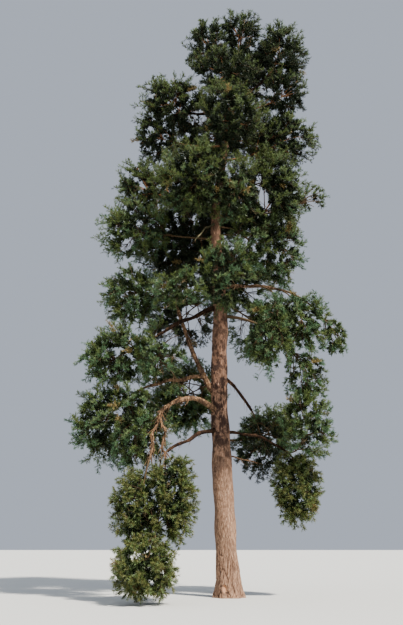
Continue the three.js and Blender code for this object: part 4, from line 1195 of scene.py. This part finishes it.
# %% Masses
def grow_mass(space, foot, habit, number):
    """One mass: its stem, main twigs, branchlets with a clump of shoots each, and their needles."""
    rng = np.random.default_rng(MASS_SEED + number)
    weeps = habit == "weeping"
    stem_line, stem_radii, reach = grow_stem(space, foot, number)
    ends = space.point(even_ways(MAIN_TWIGS, rng), MAIN_REACH)
    ends = ends[space.holds(ends) & is_clear(ends)]
    feet = nearest_start(ends, reach, SAMPLES_BACK)
    _, main = bowed(feet, ends, MAIN_BOW, weeps, MAIN_SAMPLES, rng)

    tips = place_clumps(space, habit, rng)
    inner = parabolas(reach[:, 0], reach[:, reach.shape[1] // 2], reach[:, -1], MAIN_SAMPLES)
    roots = nearest_start(tips, np.concatenate([main, inner]), SAMPLES_BACK)
    middles, branchlets = bowed(roots, tips, BRANCHLET_BOW, weeps, BRANCHLET_SAMPLES, rng)
    bare = (rng.uniform(0, 1, len(tips)) < BARE_SHARE[habit]) & (space.depth(tips) < BARE_WITHIN)

    per = SHOOTS_PER_CLUMP
    owner = np.repeat(np.arange(len(tips)), per)
    t = np.tile(np.linspace(SHOOTS_FROM, 1.0, per), len(tips))
    t = np.clip(t + rng.uniform(-SHOOT_SHIFT, SHOOT_SHIFT, len(t)), 0, 1)[:, None]
    shoot_feet = parabola(roots[owner], middles[owner], tips[owner], t)
    outward = unit(tips - space.centre)
    axis = unit(CLUMP_WAY[0] * unit(tips - middles) + CLUMP_WAY[1] * outward + UP * SHOOT_LIFT[weeps])
    first, second = square_to(axis)
    turn = np.tile(np.arange(per) * GOLDEN_ANGLE, len(tips)) + rng.uniform(0, 2 * math.pi, len(tips))[owner]
    lean = np.radians(rng.uniform(*SHOOT_SPREAD, len(owner)))[:, None]
    shoot_ways = axis[owner] * np.cos(lean) + turned(first[owner], second[owner], turn) * np.sin(lean)
    shoot_ways = unit(shoot_ways + SHOOT_CROOK * rng.normal(size=shoot_ways.shape))
    shoot_lengths = rng.uniform(*SHOOT_LENGTH, len(owner))
    shoot_tips = shoot_feet + shoot_ways * shoot_lengths[:, None]
    inside = space.holds(shoot_tips, overlap=MINGLE) & is_clear(shoot_tips)
    inside &= ~is_open(shoot_tips, rng.uniform(0, 1, len(tips))[owner])
    kept = inside & ~bare[owner]
    rise = (shoot_ways @ UP) * UPWARD + (shoot_ways * outward[owner]).sum(axis=1) * OUTWARD
    depth = space.depth(shoot_tips)
    tint = choose_tints(depth, rise, shoot_tips[:, 2], owner, len(tips), habit, rng)

    def twigs(lines, radius, tip_share, sides):
        """Tubes along some lines, each with the same taper."""
        taper = np.linspace(radius, tip_share * radius, lines.shape[1])[None] * np.ones((len(lines), 1))
        return tubes(lines, taper, sides)

    seen = kept & (depth > DEEP_SHARE)
    outer = kept & (depth > OUTER_SHARE)
    bald = inside & bare[owner]
    bark = STEM if space.centre[2] > ORANGE_FROM else LIVE
    wood = [(tubes(stem_line, stem_radii, STEM_SIDES), bark),
            (twigs(main, *MAIN_TUBES), bark),
            (twigs(branchlets[~bare], *LIVE_TUBES), LIVE),
            (spikes(shoot_feet[outer], shoot_tips[outer], SHOOT_RADIUS), LIVE),
            (twigs(branchlets[bare], *DEAD_TUBES), DEAD),
            (spikes(shoot_feet[bald], shoot_tips[bald], SHOOT_RADIUS), DEAD)]
    outer_brush = WEEPING_BRUSH if weeps else OUTER_BRUSH
    shoots = (shoot_feet, shoot_ways, shoot_lengths, tint)
    brushes = [grow_needles(*(each[which] for each in shoots), brush, rng)
               for which, brush in ((seen, outer_brush), (kept & ~seen, PAINTED_SHADE_BRUSH))]
    corners, slots = (np.concatenate(arrays) for arrays in zip(*brushes))
    return wood, corners, slots


print("the rule for a mass is ready")

# %% [markdown]
# ## Grow the crown
#
# The masses are grown one after another and joined into a few large pieces: needles apart from twigs,
# and each piece small enough to export whole. Every piece stands for the frame's masses that it covers.

# %% Grow and join
MOST_TRIANGLES = 190000


def flush(kind, group, names, number):
    """One joined piece for some masses, with its materials, body and slot."""
    if kind == "needles":
        corners = np.concatenate([c for c, _ in group])
        slots = np.concatenate([s for _, s in group])
        faces = [np.arange(len(corners)).reshape(-1, 3)]
        piece = make_mesh(f"needles_{number}", corners, faces, needle_materials, slots)
    else:
        points, faces, slots = join_parts([part for wood in group for part in wood])
        piece = make_mesh(f"twigs_{number}", points, faces, TWIG_MATERIALS, slots, smooth=True)
    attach(piece, "root")
    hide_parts(*names)
    return piece


grown = [grow_mass(space, foot, habit, i)
         for i, ((_, _, _, foot, habit), space) in enumerate(zip(MASSES, spaces))]
needle_total = sum(len(slots) for _, _, slots in grown)
print("needles:", needle_total)

crown_pieces = []
for kind in ("needles", "twigs"):
    group, names, total, number = [], [], 0, 1
    for (name, *_), (wood, corners, slots) in zip(MASSES, grown):
        if kind == "needles":
            item, cost = (corners, slots), len(slots)
        else:
            item = wood
            cost = sum((f.shape[1] - 2) * len(f) for (_, faces), _ in wood for f in faces)
        if total + cost > MOST_TRIANGLES:
            crown_pieces.append(flush(kind, group, names, number))
            group, names, total, number = [], [], 0, number + 1
        group.append(item)
        names.append(name)
        total += cost
    crown_pieces.append(flush(kind, group, names, number))
for piece in crown_pieces:
    print(piece.name, triangles_in(piece), "triangles")

# %% [markdown]
# ## Floor and light
#
# The tree stands on a plain pale floor under soft studio light. The key lamp is warm and high on the
# right, where the photo's sun is, and is wide enough that single needles don't sparkle. The fill lamp
# is weak, cool and as wide as half the sky. It lightens the shadows inside the crown a little, as a
# clear sky does. The key lamp alone would leave them black.

# %% Set the stage
FLOOR_SIZE = 400.0
FLOOR_COLOUR = (0.62, 0.62, 0.60)
SKY_COLOUR, SKY_STRENGTH = (0.80, 0.87, 1.0), 0.5
floor_mesh = bpy.data.meshes.new("floor")
half = FLOOR_SIZE / 2
floor_mesh.from_pydata([(-half, -half, 0), (half, -half, 0), (half, half, 0), (-half, half, 0)], [],
                       [(0, 1, 2, 3)])
floor = bpy.data.objects.new("floor", floor_mesh)
floor_material, floor_shader = new_material("floor_pale", 0.9)
floor_shader.inputs["Base Color"].default_value = (*FLOOR_COLOUR, 1)
floor_mesh.materials.append(floor_material)
bpy.context.scene.collection.objects.link(floor)

world = bpy.data.worlds.new("studio")
world.use_nodes = True
world.node_tree.nodes["Background"].inputs["Color"].default_value = (*SKY_COLOUR, 1)
world.node_tree.nodes["Background"].inputs["Strength"].default_value = SKY_STRENGTH
bpy.context.scene.world = world

# name, bearing, height above the level, strength, colour and width in degrees
LAMPS = [("key", -50, 52, 5.9, (1.0, 0.95, 0.86), 4), ("fill", -120, 40, 0.7, (0.90, 0.95, 1.0), 150)]
for name, bearing, above, strength, colour, width in LAMPS:
    lamp_data = bpy.data.lights.new(name, "SUN")
    lamp_data.energy = strength
    lamp_data.color = colour
    lamp_data.angle = math.radians(width)
    lamp = bpy.data.objects.new(name, lamp_data)
    from_lamp = -polar(bearing, math.cos(math.radians(above)), math.sin(math.radians(above)))
    lamp.rotation_euler = Vector(from_lamp).to_track_quat("-Z", "Y").to_euler()
    bpy.context.scene.collection.objects.link(lamp)
bpy.context.scene.view_settings.look = "AgX - Medium High Contrast"
print("floor and lights are set")
